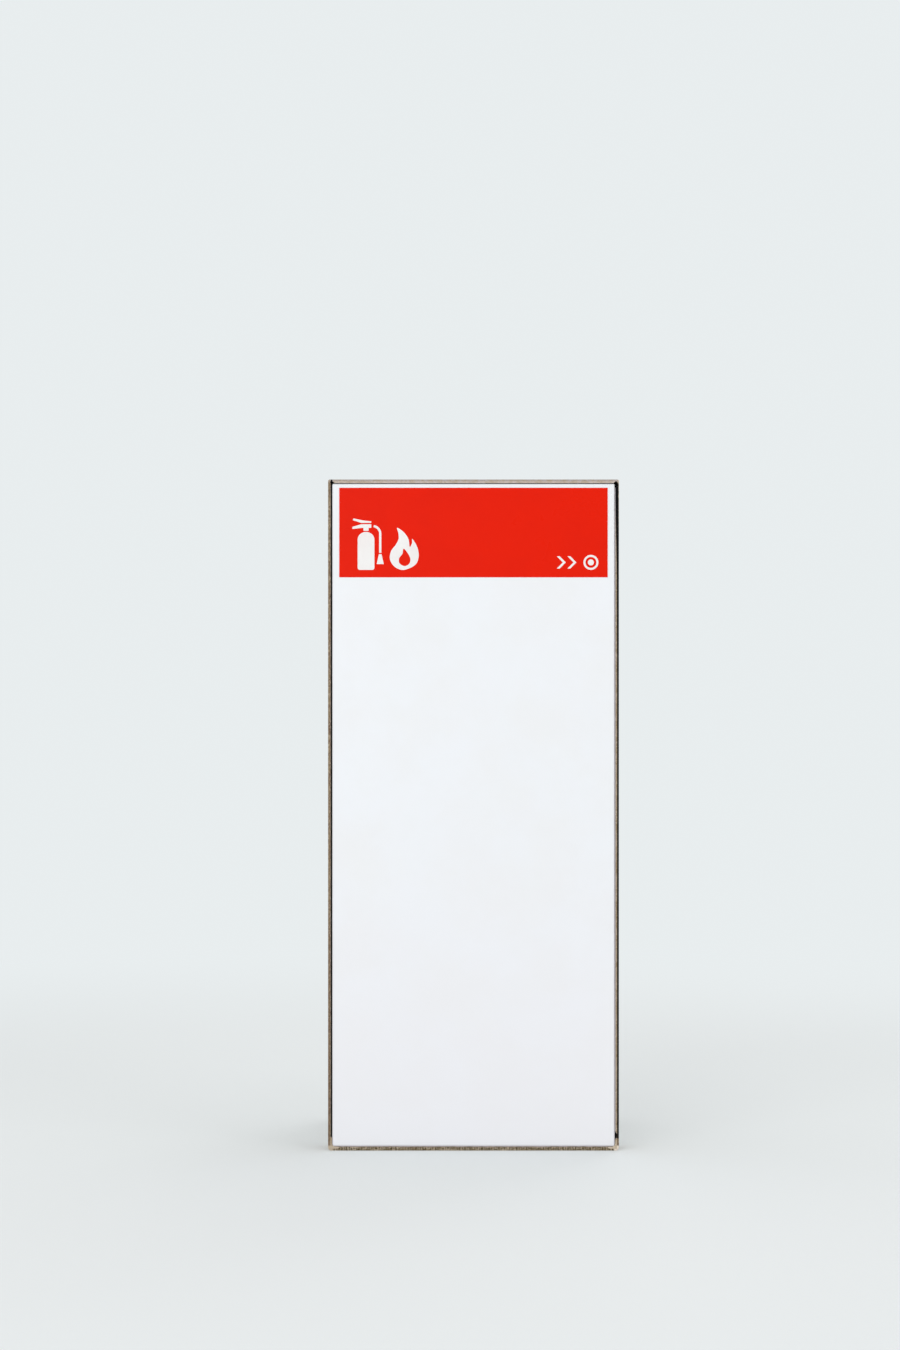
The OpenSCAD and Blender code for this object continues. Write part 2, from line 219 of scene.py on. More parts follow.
def between(tree, value, low, high, soft):
    """Mask that is 1 from low to high and fades away over soft on both sides."""
    rising = ramp(tree, value, low - soft, low)
    falling = ramp(tree, value, high, high + soft, 1.0, 0.0)
    return sum_of(tree, "MULTIPLY", rising, falling)


def product_of(tree, *masks):
    """All the masks multiplied."""
    result = masks[0]
    for mask in masks[1:]:
        result = sum_of(tree, "MULTIPLY", result, mask)
    return result


def mixed(tree, factor, first, second):
    """Colour between two colours."""
    colours = [c if isinstance(c, bpy.types.NodeSocket) else (*c[:3], 1.0) for c in (first, second)]
    return add_node(tree, "ShaderNodeMix", {0: factor, 6: colours[0], 7: colours[1]},
                    data_type="RGBA").outputs[2]


def scaled(tree, colour, factor):
    """Colour made lighter or darker by a factor."""
    return add_node(tree, "ShaderNodeVectorMath", {0: colour, "Scale": factor},
                    operation="SCALE").outputs[0]


def noise_field(tree, vector, scale, detail=2.0, rough=0.5):
    """Smooth noise between 0 and 1."""
    inputs = {"Vector": vector, "Scale": scale, "Detail": detail, "Roughness": rough}
    return add_node(tree, "ShaderNodeTexNoise", inputs).outputs[0]


def object_axes(tree):
    """Object coordinates, as a vector and as its three parts."""
    vector = add_node(tree, "ShaderNodeTexCoord").outputs["Object"]
    return vector, add_node(tree, "ShaderNodeSeparateXYZ", {0: vector}).outputs


def new_group(name, inputs, outputs):
    """Empty shader node group with named sockets, its inputs and its output node."""
    tree = bpy.data.node_groups.new(name, "ShaderNodeTree")
    for kind, sockets in (("INPUT", inputs), ("OUTPUT", outputs)):
        for label, socket_type, default in sockets:
            made = tree.interface.new_socket(name=label, in_out=kind, socket_type=socket_type)
            if kind == "INPUT":
                made.default_value = default
    return tree, add_node(tree, "NodeGroupInput").outputs, add_node(tree, "NodeGroupOutput").inputs


def join_inputs(tree, node, **values):
    """Sets or links inputs of a node. Spaces in their names are written as underscores."""
    for key, value in values.items():
        socket = node.inputs[key.replace("_", " ")]
        if isinstance(value, bpy.types.NodeSocket):
            tree.links.new(value, socket)
        elif socket.type == "RGBA":
            socket.default_value = (*value[:3], 1.0)
        else:
            socket.default_value = value


def use_group(tree, group, **values):
    """Places a node group with its inputs set."""
    new = add_node(tree, "ShaderNodeGroup", node_tree=group)
    join_inputs(tree, new, **values)
    return new


FLOAT, COLOUR = "NodeSocketFloat", "NodeSocketColor"


def sprayed_coat_group():
    """Waves of a sprayed and baked coat, with broad faint patches."""
    tree, given, out = new_group(
        "sprayed_coat", [("Peel Size", FLOAT, 0.0013), ("Patch Size", FLOAT, 0.07)],
        [("Height", FLOAT, 0), ("Patch", FLOAT, 0)])
    vector, _ = object_axes(tree)
    waves = noise_field(tree, vector, sum_of(tree, "DIVIDE", 1.0, given["Peel Size"]), 1.0)
    grit = noise_field(tree, vector, sum_of(tree, "DIVIDE", 4.0, given["Peel Size"]), 1.0)
    tree.links.new(sum_of(tree, "MULTIPLY_ADD", grit, 0.2, waves), out["Height"])
    patch = noise_field(tree, vector, sum_of(tree, "DIVIDE", 1.0, given["Patch Size"]), 3.0, 0.6)
    tree.links.new(ramp(tree, patch, 0.3, 0.7), out["Patch"])
    return tree


def settled_dust_group():
    """Fine dust on what faces up, a little denser in broad places."""
    tree, given, out = new_group(
        "settled_dust", [("Amount", FLOAT, 0.5), ("Patch Size", FLOAT, 0.05)],
        [("Mask", FLOAT, 0)])
    coordinates = add_node(tree, "ShaderNodeTexCoord").outputs
    up = add_node(tree, "ShaderNodeSeparateXYZ", {0: coordinates["Normal"]}).outputs[2]
    scale = sum_of(tree, "DIVIDE", 1.0, given["Patch Size"])
    cloud = noise_field(tree, coordinates["Object"], scale, 6.0, 0.7)
    speck = noise_field(tree, coordinates["Object"], 1100.0, 3.0, 0.7)
    veil = ramp(tree, cloud, 0.2, 0.8, 0.35, 0.75)
    specks = ramp(tree, speck, 0.42, 0.66, 0.55, 1.0)
    lying = product_of(tree, ramp(tree, up, 0.4, 0.95), veil, specks, given["Amount"])
    tree.links.new(lying, out["Mask"])
    return tree


def handling_scuffs_group():
    """Thin rubbed lines in a few broad places."""
    tree, given, out = new_group(
        "handling_scuffs", [("Amount", FLOAT, 0.5), ("Place Size", FLOAT, 0.09)],
        [("Mask", FLOAT, 0)])
    vector, _ = object_axes(tree)
    place = noise_field(tree, vector, sum_of(tree, "DIVIDE", 1.0, given["Place Size"]), 1.0)
    lines = None
    for turn, stretch in (((0.3, 0.2, 0.5), (900, 700, 18)), ((1.2, 0.7, 0.1), (26, 800, 900))):
        turned = add_node(tree, "ShaderNodeMapping", {"Vector": vector, "Rotation": turn,
                                                      "Scale": stretch}).outputs[0]
        line = ramp(tree, noise_field(tree, turned, 1.0, 1.0), 0.70, 0.76)
        lines = line if lines is None else sum_of(tree, "MAXIMUM", lines, line)
    worn = sum_of(tree, "MULTIPLY", lines, ramp(tree, place, 0.52, 0.66))
    tree.links.new(sum_of(tree, "MULTIPLY", worn, given["Amount"], clamp=True), out["Mask"])
    return tree


def cut_edge_group():
    """Mask of the sharp edges of sheet, where the coat is thin."""
    tree, given, out = new_group(
        "cut_edge", [("Width", FLOAT, 0.0004)], [("Mask", FLOAT, 0)])
    rounded = add_node(tree, "ShaderNodeBevel", {"Radius": given["Width"]}, samples=4).outputs[0]
    flat = add_node(tree, "ShaderNodeNewGeometry").outputs["Normal"]
    match = add_node(tree, "ShaderNodeVectorMath", {0: rounded, 1: flat},
                     operation="DOT_PRODUCT").outputs["Value"]
    tree.links.new(ramp(tree, match, 0.75, 0.97, 1.0, 0.0), out["Mask"])
    return tree


def crumbly_grain_group():
    """Crumbly filler and board: soft patches, short fibres, dark pits and fine grit."""
    tree, given, out = new_group(
        "crumbly_grain",
        [("Main", COLOUR, (0.35, 0.27, 0.18, 1)), ("Shade", COLOUR, (0.2, 0.14, 0.09, 1)),
         ("Dark", COLOUR, (0.09, 0.07, 0.04, 1)), ("Light", COLOUR, (0.56, 0.47, 0.37, 1)),
         ("Grain Size", FLOAT, 0.0008), ("Darkness", FLOAT, 0.5)],
        [("Colour", COLOUR, (1, 1, 1, 1)), ("Height", FLOAT, 0)])
    vector, _ = object_axes(tree)
    scale = sum_of(tree, "DIVIDE", 1.0, given["Grain Size"])
    patch = noise_field(tree, vector, sum_of(tree, "MULTIPLY", scale, 0.25), 3.0, 0.6)
    stretched = add_node(tree, "ShaderNodeMapping",
                         {"Vector": vector, "Scale": (1.4, 1.0, 0.6)}).outputs[0]
    fibre = noise_field(tree, stretched, scale, 4.0, 0.65)
    pit = noise_field(tree, vector, sum_of(tree, "MULTIPLY", scale, 1.1), 4.0, 0.7)
    grit = noise_field(tree, vector, sum_of(tree, "MULTIPLY", scale, 5.0), 3.0, 0.7)
    colour = mixed(tree, ramp(tree, patch, 0.35, 0.65), given["Main"], given["Shade"])
    colour = mixed(tree, ramp(tree, fibre, 0.47, 0.70), colour, given["Light"])
    threshold = sum_of(tree, "MULTIPLY_ADD", given["Darkness"], -0.30, 0.72)
    deep = ramp(tree, pit, threshold, sum_of(tree, "ADD", threshold, 0.13))
    colour = mixed(tree, deep, colour, given["Dark"])
    colour = scaled(tree, colour, ramp(tree, grit, 0.3, 0.7, 0.72, 1.18))
    tree.links.new(colour, out["Colour"])
    relief = sum_of(tree, "SUBTRACT", fibre, deep)
    tree.links.new(sum_of(tree, "MULTIPLY_ADD", grit, 0.35, relief), out["Height"])
    return tree


def new_material(name):
    """Material with an empty tree and a Principled shader."""
    material = bpy.data.materials.new(name)
    material.use_nodes = True
    tree = material.node_tree
    tree.nodes.clear()
    shader = add_node(tree, "ShaderNodeBsdfPrincipled")
    add_node(tree, "ShaderNodeOutputMaterial", {"Surface": shader.outputs[0]})
    return material, tree, shader


def bumped(tree, height, distance, strength=1.0, normal=None):
    """Normal of a surface with the given height over it."""
    inputs = {"Height": height, "Distance": distance, "Strength": strength}
    if normal is not None:
        inputs["Normal"] = normal
    return add_node(tree, "ShaderNodeBump", inputs).outputs[0]


def paint_material(name, colour, groups, paint, rough, dust, scuffs, edge, low):
    """Baked paint on sheet steel, with dust, rubbed lines, thin edges and a greyer lower part that is
    painted shade.
    """
    material, tree, shader = new_material(name)
    coat = use_group(tree, groups["coat"], Peel_Size=paint.peel_size)
    settled = use_group(tree, groups["dust"], Amount=dust).outputs["Mask"]
    rubbed = use_group(tree, groups["scuffs"], Amount=scuffs).outputs["Mask"]
    thin = use_group(tree, groups["edge"]).outputs["Mask"]
    faded = [c * f for c, f in zip(colour, (0.985, 0.975, 0.96))]
    face = mixed(tree, coat.outputs["Patch"], colour, faded)
    _, axes = object_axes(tree)
    # Painted shade: the coat turns a little greyer and warmer towards the bottom, over the lowest 350
    # mm, by the share low
    lower_painted_shade = [c * f for c, f in zip(colour, (0.99, 0.95, 0.955))]
    face = mixed(tree, ramp(tree, axes[2], 0.0, 350 * MM, low, 0.0), face, lower_painted_shade)
    face = mixed(tree, sum_of(tree, "MULTIPLY", rubbed, 0.5), face, (0.42, 0.41, 0.39))
    face = mixed(tree, sum_of(tree, "MULTIPLY", thin, edge), face, (0.50, 0.50, 0.49))
    face = mixed(tree, settled, face, (0.46, 0.43, 0.39))
    matt = sum_of(tree, "MAXIMUM", settled, rubbed)
    gloss = ramp(tree, coat.outputs["Patch"], 0.0, 1.0, rough - 0.03, rough + 0.03)
    join_inputs(tree, shader, Base_Color=face,
                Roughness=sum_of(tree, "MULTIPLY_ADD", matt, 0.35, gloss, clamp=True),
                Normal=bumped(tree, coat.outputs["Height"], paint.peel_depth))
    return material


def grouped_effects():
    """The shader node groups, built once."""
    if "sprayed_coat" not in bpy.data.node_groups:
        sprayed_coat_group()
        settled_dust_group()
        handling_scuffs_group()
        cut_edge_group()
        crumbly_grain_group()
    names = {"coat": "sprayed_coat", "dust": "settled_dust", "scuffs": "handling_scuffs",
             "edge": "cut_edge", "grain": "crumbly_grain"}
    return {key: bpy.data.node_groups[name] for key, name in names.items()}


def crumbled_darkness(tree, vector, x):
    """Darkness that comes and goes along the lower edge, where the filler has crumbled."""
    sway = noise_field(tree, vector, 250.0, 2.0)
    phase = sum_of(tree, "MULTIPLY_ADD", sway, 9.0,
                   sum_of(tree, "MULTIPLY", x, 2 * math.pi / (2.2 * MM)))
    return sum_of(tree, "MULTIPLY_ADD", sum_of(tree, "SINE", phase), 0.34, 0.92)


def latch_gap_shade(tree, axes):
    """Mask of the painted shade down the latch side, a black line as of a gap, which widens into a wedge
    at its top.
    """
    x, _, z = axes
    wall = FRAME_HIGH.x - FRAME_SHEET
    start = sum_of(tree, "ADD", ramp(tree, z, 400 * MM, 500 * MM, wall, wall - 0.25 * MM),
                   ramp(tree, z, 500 * MM, 590 * MM, 0.0, -1.25 * MM))
    return ramp(tree, sum_of(tree, "SUBTRACT", x, start), 0.0, 0.12 * MM)


def front_edge_colour(tree, edge, vector, axes):
    """Colour of the frame's cut edge: mottled at the sides, brown above and crumbly below."""
    grain = grouped_effects()["grain"]
    x, _, z = axes
    sides = use_group(tree, grain, Main=edge.tan, Shade=edge.brown, Dark=edge.olive,
                      Light=edge.beige, Grain_Size=edge.grain,
                      Darkness=ramp(tree, z, 0.0, 0.40, 0.75, 0.35))
    rail = use_group(tree, grain, Main=edge.beige, Shade=edge.tan, Dark=edge.olive,
                     Light=edge.beige, Grain_Size=edge.grain * 1.3,
                     Darkness=crumbled_darkness(tree, vector, x))
    shaded = mixed(tree, ramp(tree, z, 0.0, 0.40, 0.55, 0.0), sides.outputs["Colour"], edge.brown)
    low = ramp(tree, z, 2.2 * MM, 2.8 * MM, 1.0, 0.0)
    colour = mixed(tree, low, shaded, rail.outputs["Colour"])
    high = ramp(tree, z, CABINET_TOP - 3 * MM, CABINET_TOP - 2.4 * MM)
    above = use_group(tree, grain, Main=edge.clay, Shade=edge.mauve, Dark=edge.brown,
                      Light=edge.beige, Grain_Size=edge.grain, Darkness=0.3)
    worn = scaled(tree, above.outputs["Colour"], 0.83)
    colour = mixed(tree, high, colour, worn)
    fringe = ramp(tree, z, CABINET_TOP - 0.9 * MM, CABINET_TOP - 0.2 * MM, 0.0, 0.7)
    colour = mixed(tree, fringe, colour, edge.brown)
    # Painted shade: a black line as of a gap down the latch side, with a thin tan line left outside it
    wobble = noise_field(tree, vector, 500.0, 3.0, 0.7)
    across = sum_of(tree, "MULTIPLY_ADD", wobble, 1.2 * MM, sum_of(tree, "SUBTRACT", x, 0.6 * MM))
    wall = FRAME_HIGH.x - FRAME_SHEET
    ends = ramp(tree, z, 540 * MM, 580 * MM, FRAME_HIGH.x + 0.1 * MM, FRAME_HIGH.x - 0.25 * MM)
    latch_shade_line = product_of(tree, latch_gap_shade(tree, axes),
                       ramp(tree, sum_of(tree, "SUBTRACT", ends, across), 0.0, 0.1 * MM),
                       between(tree, z, 11 * MM, CABINET_TOP - 3.2 * MM, 0.4 * MM))
    # Painted shade: black across the upper rail, over the gap at the hinge side, as if the gap ran on up
    hinge_gap_shade = product_of(tree, between(tree, x, 0.9 * MM - wall, 0.2 * MM + DOOR_LOW.x, 0.2 * MM),
                       ramp(tree, z, CABINET_TOP - 4 * MM, CABINET_TOP - 3 * MM))
    colour = mixed(tree, sum_of(tree, "MAXIMUM", latch_shade_line, hinge_gap_shade), colour, edge.shade_black)
    # Pale filler smeared over both lower corners
    corner = product_of(tree, ramp(tree, z, 3.5 * MM, 5.5 * MM, 1.0, 0.0),
                        ramp(tree, sum_of(tree, "ABSOLUTE", x), 125 * MM, 126.5 * MM))
    crest = product_of(tree, ramp(tree, z, CABINET_TOP - 5 * MM, CABINET_TOP - 3 * MM),
                       ramp(tree, x, FRAME_HIGH.x - 1 * MM, FRAME_HIGH.x - 0.6 * MM, 0.0, 0.8))
    corner = sum_of(tree, "MAXIMUM", corner, crest)
    height = sum_of(tree, "ADD", sides.outputs["Height"], rail.outputs["Height"])
    chalky = product_of(tree, ramp(tree, x, -0.1, 0.1), ramp(tree, z, 0.2, 0.3, 1.0, 0.0))
    return mixed(tree, corner, colour, mixed(tree, chalky, edge.beige, edge.chalk)), height


def gap_painted_shade(tree, axes):
    """Mask of the black painted shade on the faces of the frame that close the gap round the door."""
    x, y, z = axes
    wide = sum_of(tree, "ABSOLUTE", x)
    half_sheet = FRAME_SHEET / 2
    inside = product_of(tree, ramp(tree, wide, FRAME_HIGH.x - half_sheet,
                                   FRAME_HIGH.x - half_sheet + 0.1 * MM, 1.0, 0.0),
                        between(tree, z, half_sheet, CABINET_TOP - half_sheet, 0.1 * MM))
    above = ramp(tree, z, CABINET_TOP - 3.2 * MM, CABINET_TOP - 2.4 * MM)
    beside = ramp(tree, wide, 126.4 * MM, 127.4 * MM)
    below = ramp(tree, z, 3.2 * MM, 2.4 * MM)
    walls = sum_of(tree, "MAXIMUM", above, sum_of(tree, "MAXIMUM", beside, below))
    start = ramp(tree, z, 5 * MM, 8 * MM, 3 * MM, 0.6 * MM)
    depth = sum_of(tree, "SUBTRACT", y, FRAME_LOW.y)
    begun = ramp(tree, sum_of(tree, "SUBTRACT", depth, start), 0.0, 0.8 * MM)
    fading = ramp(tree, depth, 13 * MM, 20 * MM, 0.97, 0.8)
    return product_of(tree, inside, walls, begun, fading)


def frame_material(paint, edge):
    """Beige paint with a dirty, crumbly front edge and black painted shade in the gap."""
    groups = grouped_effects()
    material, tree, shader = new_material("dirty_frame")
    vector, axes = object_axes(tree)
    rim, grain_height = front_edge_colour(tree, edge, vector, axes)
    coat = use_group(tree, groups["coat"], Peel_Size=paint.peel_size)
    smear = noise_field(tree, vector, 300.0, 4.0, 0.7)
    depth = sum_of(tree, "SUBTRACT", axes[1], sum_of(tree, "MULTIPLY", smear, 3.5 * MM))
    dirty = ramp(tree, depth, FRAME_LOW.y - 0.9 * MM, FRAME_LOW.y + 0.4 * MM, 1.0, 0.0)
    settled = use_group(tree, groups["dust"], Amount=0.6, Patch_Size=0.03).outputs["Mask"]
    plain = mixed(tree, coat.outputs["Patch"], paint.frame_colour,
                  [c * 0.94 for c in paint.frame_colour])
    plain = mixed(tree, settled, plain, (0.34, 0.30, 0.25))
    colour = mixed(tree, dirty, plain, rim)
    # Painted shade: the frame's faces deep in the gap round the door turn black
    colour = mixed(tree, gap_painted_shade(tree, axes), colour, edge.shade_black)
    height = sum_of(tree, "MULTIPLY", grain_height, dirty)
    waves = bumped(tree, coat.outputs["Height"], paint.peel_depth)
    join_inputs(tree, shader, Base_Color=colour, Specular_IOR_Level=0.06,
                Roughness=ramp(tree, dirty, 0.0, 1.0, 0.42, 0.9),
                Normal=bumped(tree, height, 0.15 * MM, 0.8, waves))
    return material


def filler_material(name, main, low_main, shade, edge, darkness, latch_shaded=False):
    """Old filler with crumbly grain, of another tone low down, then painted shade behind its front:
    mauve, and black deeper in.

    Without a given darkness it is crumbled as the lower edge is."""
    material, tree, shader = new_material(name)
    vector, axes = object_axes(tree)
    if darkness is None:
        darkness = crumbled_darkness(tree, vector, axes[0])
    tone = mixed(tree, ramp(tree, axes[2], 3.5 * MM, 6 * MM), low_main, main)
    grain = use_group(tree, grouped_effects()["grain"], Main=tone, Shade=shade,
                      Dark=edge.olive, Light=edge.beige, Grain_Size=edge.grain * 1.2,
                      Darkness=darkness)
    depth = sum_of(tree, "SUBTRACT", axes[1], FRAME_LOW.y)
    # Painted shade: the filler turns mauve from 0.45 mm behind the frame's front and black from 2.1 mm
    colour = mixed(tree, ramp(tree, depth, 0.45 * MM, 0.6 * MM), grain.outputs["Colour"], edge.mauve)
    colour = mixed(tree, ramp(tree, depth, 2.1 * MM, 2.9 * MM), colour, edge.shade_black)
    # Painted shade: on the latch side the black line as of a gap runs on over the filler
    if latch_shaded:
        colour = mixed(tree, latch_gap_shade(tree, axes), colour, edge.shade_black)
    join_inputs(tree, shader, Base_Color=colour, Roughness=0.9, Specular_IOR_Level=0.06,
                Normal=bumped(tree, grain.outputs["Height"], 0.1 * MM, 0.8))
    return material


def crumb_material(edge):
    """Crumbs, each with its own tone."""
    material, tree, shader = new_material("loose_crumbs")
    tone = add_node(tree, "ShaderNodeAttribute", attribute_name="tone").outputs["Fac"]
    vector, _ = object_axes(tree)
    speckle = noise_field(tree, vector, 2500.0, 2.0)
    colour = mixed(tree, ramp(tree, tone, 0.25, 0.5), edge.olive, edge.brown)
    colour = mixed(tree, ramp(tree, tone, 0.5, 0.75), colour, edge.tan)
    colour = mixed(tree, ramp(tree, tone, 0.8, 0.95), colour, edge.beige)
    face = scaled(tree, colour, ramp(tree, speckle, 0.3, 0.7, 0.75, 1.15))
    join_inputs(tree, shader, Base_Color=face, Roughness=0.95, Specular_IOR_Level=0.06,
                Normal=bumped(tree, speckle, 0.05 * MM, 0.6))
    return material


def film_material(name, colour, rough):
    """Cut film with a fine calendered grain."""
    material, tree, shader = new_material(name)
    vector, _ = object_axes(tree)
    patch = noise_field(tree, vector, 30.0, 3.0, 0.6)
    grain = noise_field(tree, vector, 1500.0, 2.0)
    worn = [c * f for c, f in zip(colour, (0.97, 0.93, 0.93))]
    join_inputs(tree, shader, Specular_IOR_Level=0.08,
                Base_Color=mixed(tree, ramp(tree, patch, 0.35, 0.7), colour, worn),
                Roughness=ramp(tree, patch, 0.3, 0.7, rough - 0.03, rough + 0.04),
                Normal=bumped(tree, grain, 0.008 * MM))
    return material


def zinc_material():
    """Zinc plated steel with cloudy tone and drawn lines, and painted shade, nearly black and matt,
    where it lies in the gap.
    """
    groups = grouped_effects()
    material, tree, shader = new_material("zinc_plate")
    vector, axes = object_axes(tree)
    cloud = noise_field(tree, vector, 160.0, 4.0, 0.6)
    stretched = add_node(tree, "ShaderNodeMapping",
                         {"Vector": vector, "Scale": (400, 400, 6000)}).outputs[0]
    lines = noise_field(tree, stretched, 1.0, 2.0)
    colour = mixed(tree, ramp(tree, cloud, 0.3, 0.7), (0.60, 0.61, 0.60), (0.47, 0.47, 0.44))
    dust = use_group(tree, groups["dust"], Amount=0.5, Patch_Size=0.01).outputs["Mask"]
    from_middle = sum_of(tree, "ABSOLUTE", sum_of(tree, "SUBTRACT", axes[2], CABINET_TOP / 2))
    gap_end = CABINET_TOP / 2 - FRAME_SHEET
    # Painted shade: the pins turn nearly black and matt where they lie in the gaps at the top and bottom
    pin_gap_shade = between(tree, from_middle, gap_end - 2 * MM, gap_end + 0.4 * MM, 0.5 * MM)
    colour = mixed(tree, dust, colour, (0.30, 0.27, 0.23))
    colour = mixed(tree, pin_gap_shade, colour, (0.030, 0.024, 0.018))
    dust_and_gap_shade = sum_of(tree, "MAXIMUM", dust, pin_gap_shade)
    join_inputs(tree, shader, Base_Color=colour,
                Metallic=ramp(tree, dust_and_gap_shade, 0.0, 1.0, 1.0, 0.1),
                Specular_IOR_Level=ramp(tree, pin_gap_shade, 0.0, 1.0, 0.5, 0.06),
                Roughness=sum_of(tree, "MAXIMUM", pin_gap_shade, ramp(tree, cloud, 0.3, 0.7, 0.28, 0.46)),
                Normal=bumped(tree, lines, 0.01 * MM, 0.6))
    return material


def moulded_material(name, colour, rough, grain_size, depth, dust):
    """Moulded plastic or rubber with a fine grain and a little dust."""
    material, tree, shader = new_material(name)
    vector, _ = object_axes(tree)
    grain = noise_field(tree, vector, 1.0 / grain_size, 2.0)
    patch = noise_field(tree, vector, 90.0, 3.0)
    settled = use_group(tree, grouped_effects()["dust"], Amount=dust,
                        Patch_Size=0.008).outputs["Mask"]
    lighter = [c * 1.5 for c in colour]
    face = mixed(tree, ramp(tree, patch, 0.3, 0.7), colour, lighter)
    join_inputs(tree, shader, Base_Color=mixed(tree, settled, face, (0.33, 0.31, 0.28)),
                Roughness=sum_of(tree, "MULTIPLY_ADD", settled, 0.3, rough, clamp=True),
                Normal=bumped(tree, grain, depth))
    return material


# Meshes

def coat_nodes(material, *names):
    """Gives a material to whole pieces of the frame."""
    for name in names:
        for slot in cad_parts[name].material_slots:
            slot.material = material


def link_object(name, mesh):
    """Object for a mesh, in the scene."""
    made = bpy.data.objects.new(name, mesh)
    bpy.context.scene.collection.objects.link(made)
    return made


def mesh_from(bm, name):
    """Plain mesh made from a bmesh, with faces pointing out."""
    bmesh.ops.recalc_face_normals(bm, faces=bm.faces)
    mesh = bpy.data.meshes.new(name)
    bm.to_mesh(mesh)
    bm.free()
    return mesh


def finish_piece(made, body, smooth=False):
    """Rides a finished piece on its body."""
    if smooth:
        made.data.shade_smooth()
    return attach(made, body)


def plain_result(made):
    """Turns what the node tree makes into a plain mesh, and takes the modifier off."""
    bpy.context.view_layer.update()
    evaluated = made.evaluated_get(bpy.context.evaluated_depsgraph_get())
    mesh = bpy.data.meshes.new_from_object(evaluated)
    if not mesh.polygons:
        raise RuntimeError(made.name + " came out empty")
    made.modifiers.clear()
    made.data = mesh
    mesh.name = made.name
    return made


def marks_object(name, marks):
    """Loose points with a direction each, for a node tree to set pieces on."""
    mesh = bpy.data.meshes.new(name)
    mesh.from_pydata([place for place, _ in marks], [], [])
    facing = mesh.attributes.new("facing", "FLOAT_VECTOR", "POINT")
    for index, (_, direction) in enumerate(marks):
        facing.data[index].vector = direction
    return link_object(name, mesh)


def lines_object(name, lines):
    """Edges from point to point with a direction each, for a node tree to run along."""
    mesh = bpy.data.meshes.new(name)
    points = [p for start, end, _ in lines for p in (start, end)]
    mesh.from_pydata(points, [(2 * i, 2 * i + 1) for i in range(len(lines))], [])
    facing = mesh.attributes.new("facing", "FLOAT_VECTOR", "POINT")
    for index, (_, _, direction) in enumerate(lines):
        facing.data[2 * index].vector = facing.data[2 * index + 1].vector = direction
    return link_object(name, mesh)


def geometry_tree(name, inputs):
    """Node tree for a modifier, with a geometry in and out and named inputs."""
    tree = bpy.data.node_groups.new(name, "GeometryNodeTree")
    tree.interface.new_socket(name="Geometry", in_out="INPUT", socket_type="NodeSocketGeometry")
    for label, socket_type in inputs:
        tree.interface.new_socket(name=label, in_out="INPUT", socket_type=socket_type)
    tree.interface.new_socket(name="Geometry", in_out="OUTPUT", socket_type="NodeSocketGeometry")
    return tree, add_node(tree, "NodeGroupInput").outputs


def close_tree(tree, geometry, material):
    """Ends a tree in real geometry with its material."""
    real = add_node(tree, "GeometryNodeRealizeInstances", {0: geometry}).outputs[0]
    done = add_node(tree, "GeometryNodeSetMaterial", {"Geometry": real, "Material": material})
    add_node(tree, "NodeGroupOutput", {0: done.outputs[0]})


def run_tree(made, tree, values):
    """Puts a tree on an object with its inputs set, and keeps the plain result."""
    modifier = made.modifiers.new(tree.name, "NODES")
    modifier.node_group = tree
    for item in tree.interface.items_tree:
        if item.in_out == "INPUT" and item.name in values:
            modifier[item.identifier] = values[item.name]
    return plain_result(made)


def facing_rotation(tree, spin=None):
    """Rotation that turns a piece's Z to the direction kept in each point."""
    facing = add_node(tree, "GeometryNodeInputNamedAttribute", {"Name": "facing"},
                      data_type="FLOAT_VECTOR").outputs[0]
    turned = add_node(tree, "FunctionNodeAlignRotationToVector", {"Vector": facing}, axis="Z")
    if spin is None:
        return turned.outputs[0]
    own = add_node(tree, "FunctionNodeAxisAngleToRotation", {"Axis": (0, 0, 1), "Angle": spin})
    return add_node(tree, "FunctionNodeRotateRotation",
                    {"Rotation": turned.outputs[0], "Rotate By": own.outputs[0]},
                    rotation_space="LOCAL").outputs[0]


def spot_weld_tree():
    """Shallow dimple with a raised rim on every point."""
    tree, given = geometry_tree("spot_welds", [
        ("Diameter", FLOAT), ("Rim Height", FLOAT), ("Material", "NodeSocketMaterial")])
    radius = sum_of(tree, "MULTIPLY", given["Diameter"], 0.5)
    rim_width = sum_of(tree, "MULTIPLY", given["Diameter"], 0.09)
    rim_curve = add_node(tree, "GeometryNodeCurvePrimitiveCircle",
                         {"Resolution": 24, "Radius": sum_of(tree, "SUBTRACT", radius, rim_width)})
    section = add_node(tree, "GeometryNodeCurvePrimitiveCircle",
                       {"Resolution": 8, "Radius": rim_width})
    rim = add_node(tree, "GeometryNodeCurveToMesh", {"Curve": rim_curve.outputs[0],
                                                     "Profile Curve": section.outputs[0]})
    flatness = sum_of(tree, "DIVIDE", given["Rim Height"], rim_width)
    squashed = add_node(tree, "GeometryNodeTransform", {
        "Geometry": rim.outputs[0],
        "Scale": add_node(tree, "ShaderNodeCombineXYZ", {0: 1.0, 1: 1.0, 2: flatness}).outputs[0]})
    floor = add_node(tree, "GeometryNodeMeshCylinder", {
        "Vertices": 24, "Radius": sum_of(tree, "SUBTRACT", radius, rim_width),
        "Depth": sum_of(tree, "MULTIPLY", given["Rim Height"], 0.5)})
    whole = add_node(tree, "GeometryNodeJoinGeometry")
    tree.links.new(floor.outputs[0], whole.inputs[0])
    tree.links.new(squashed.outputs[0], whole.inputs[0])
    set_on = add_node(tree, "GeometryNodeInstanceOnPoints", {
        "Points": given["Geometry"], "Instance": whole.outputs[0],
        "Rotation": facing_rotation(tree)})
    close_tree(tree, set_on.outputs[0], given["Material"])
    return tree


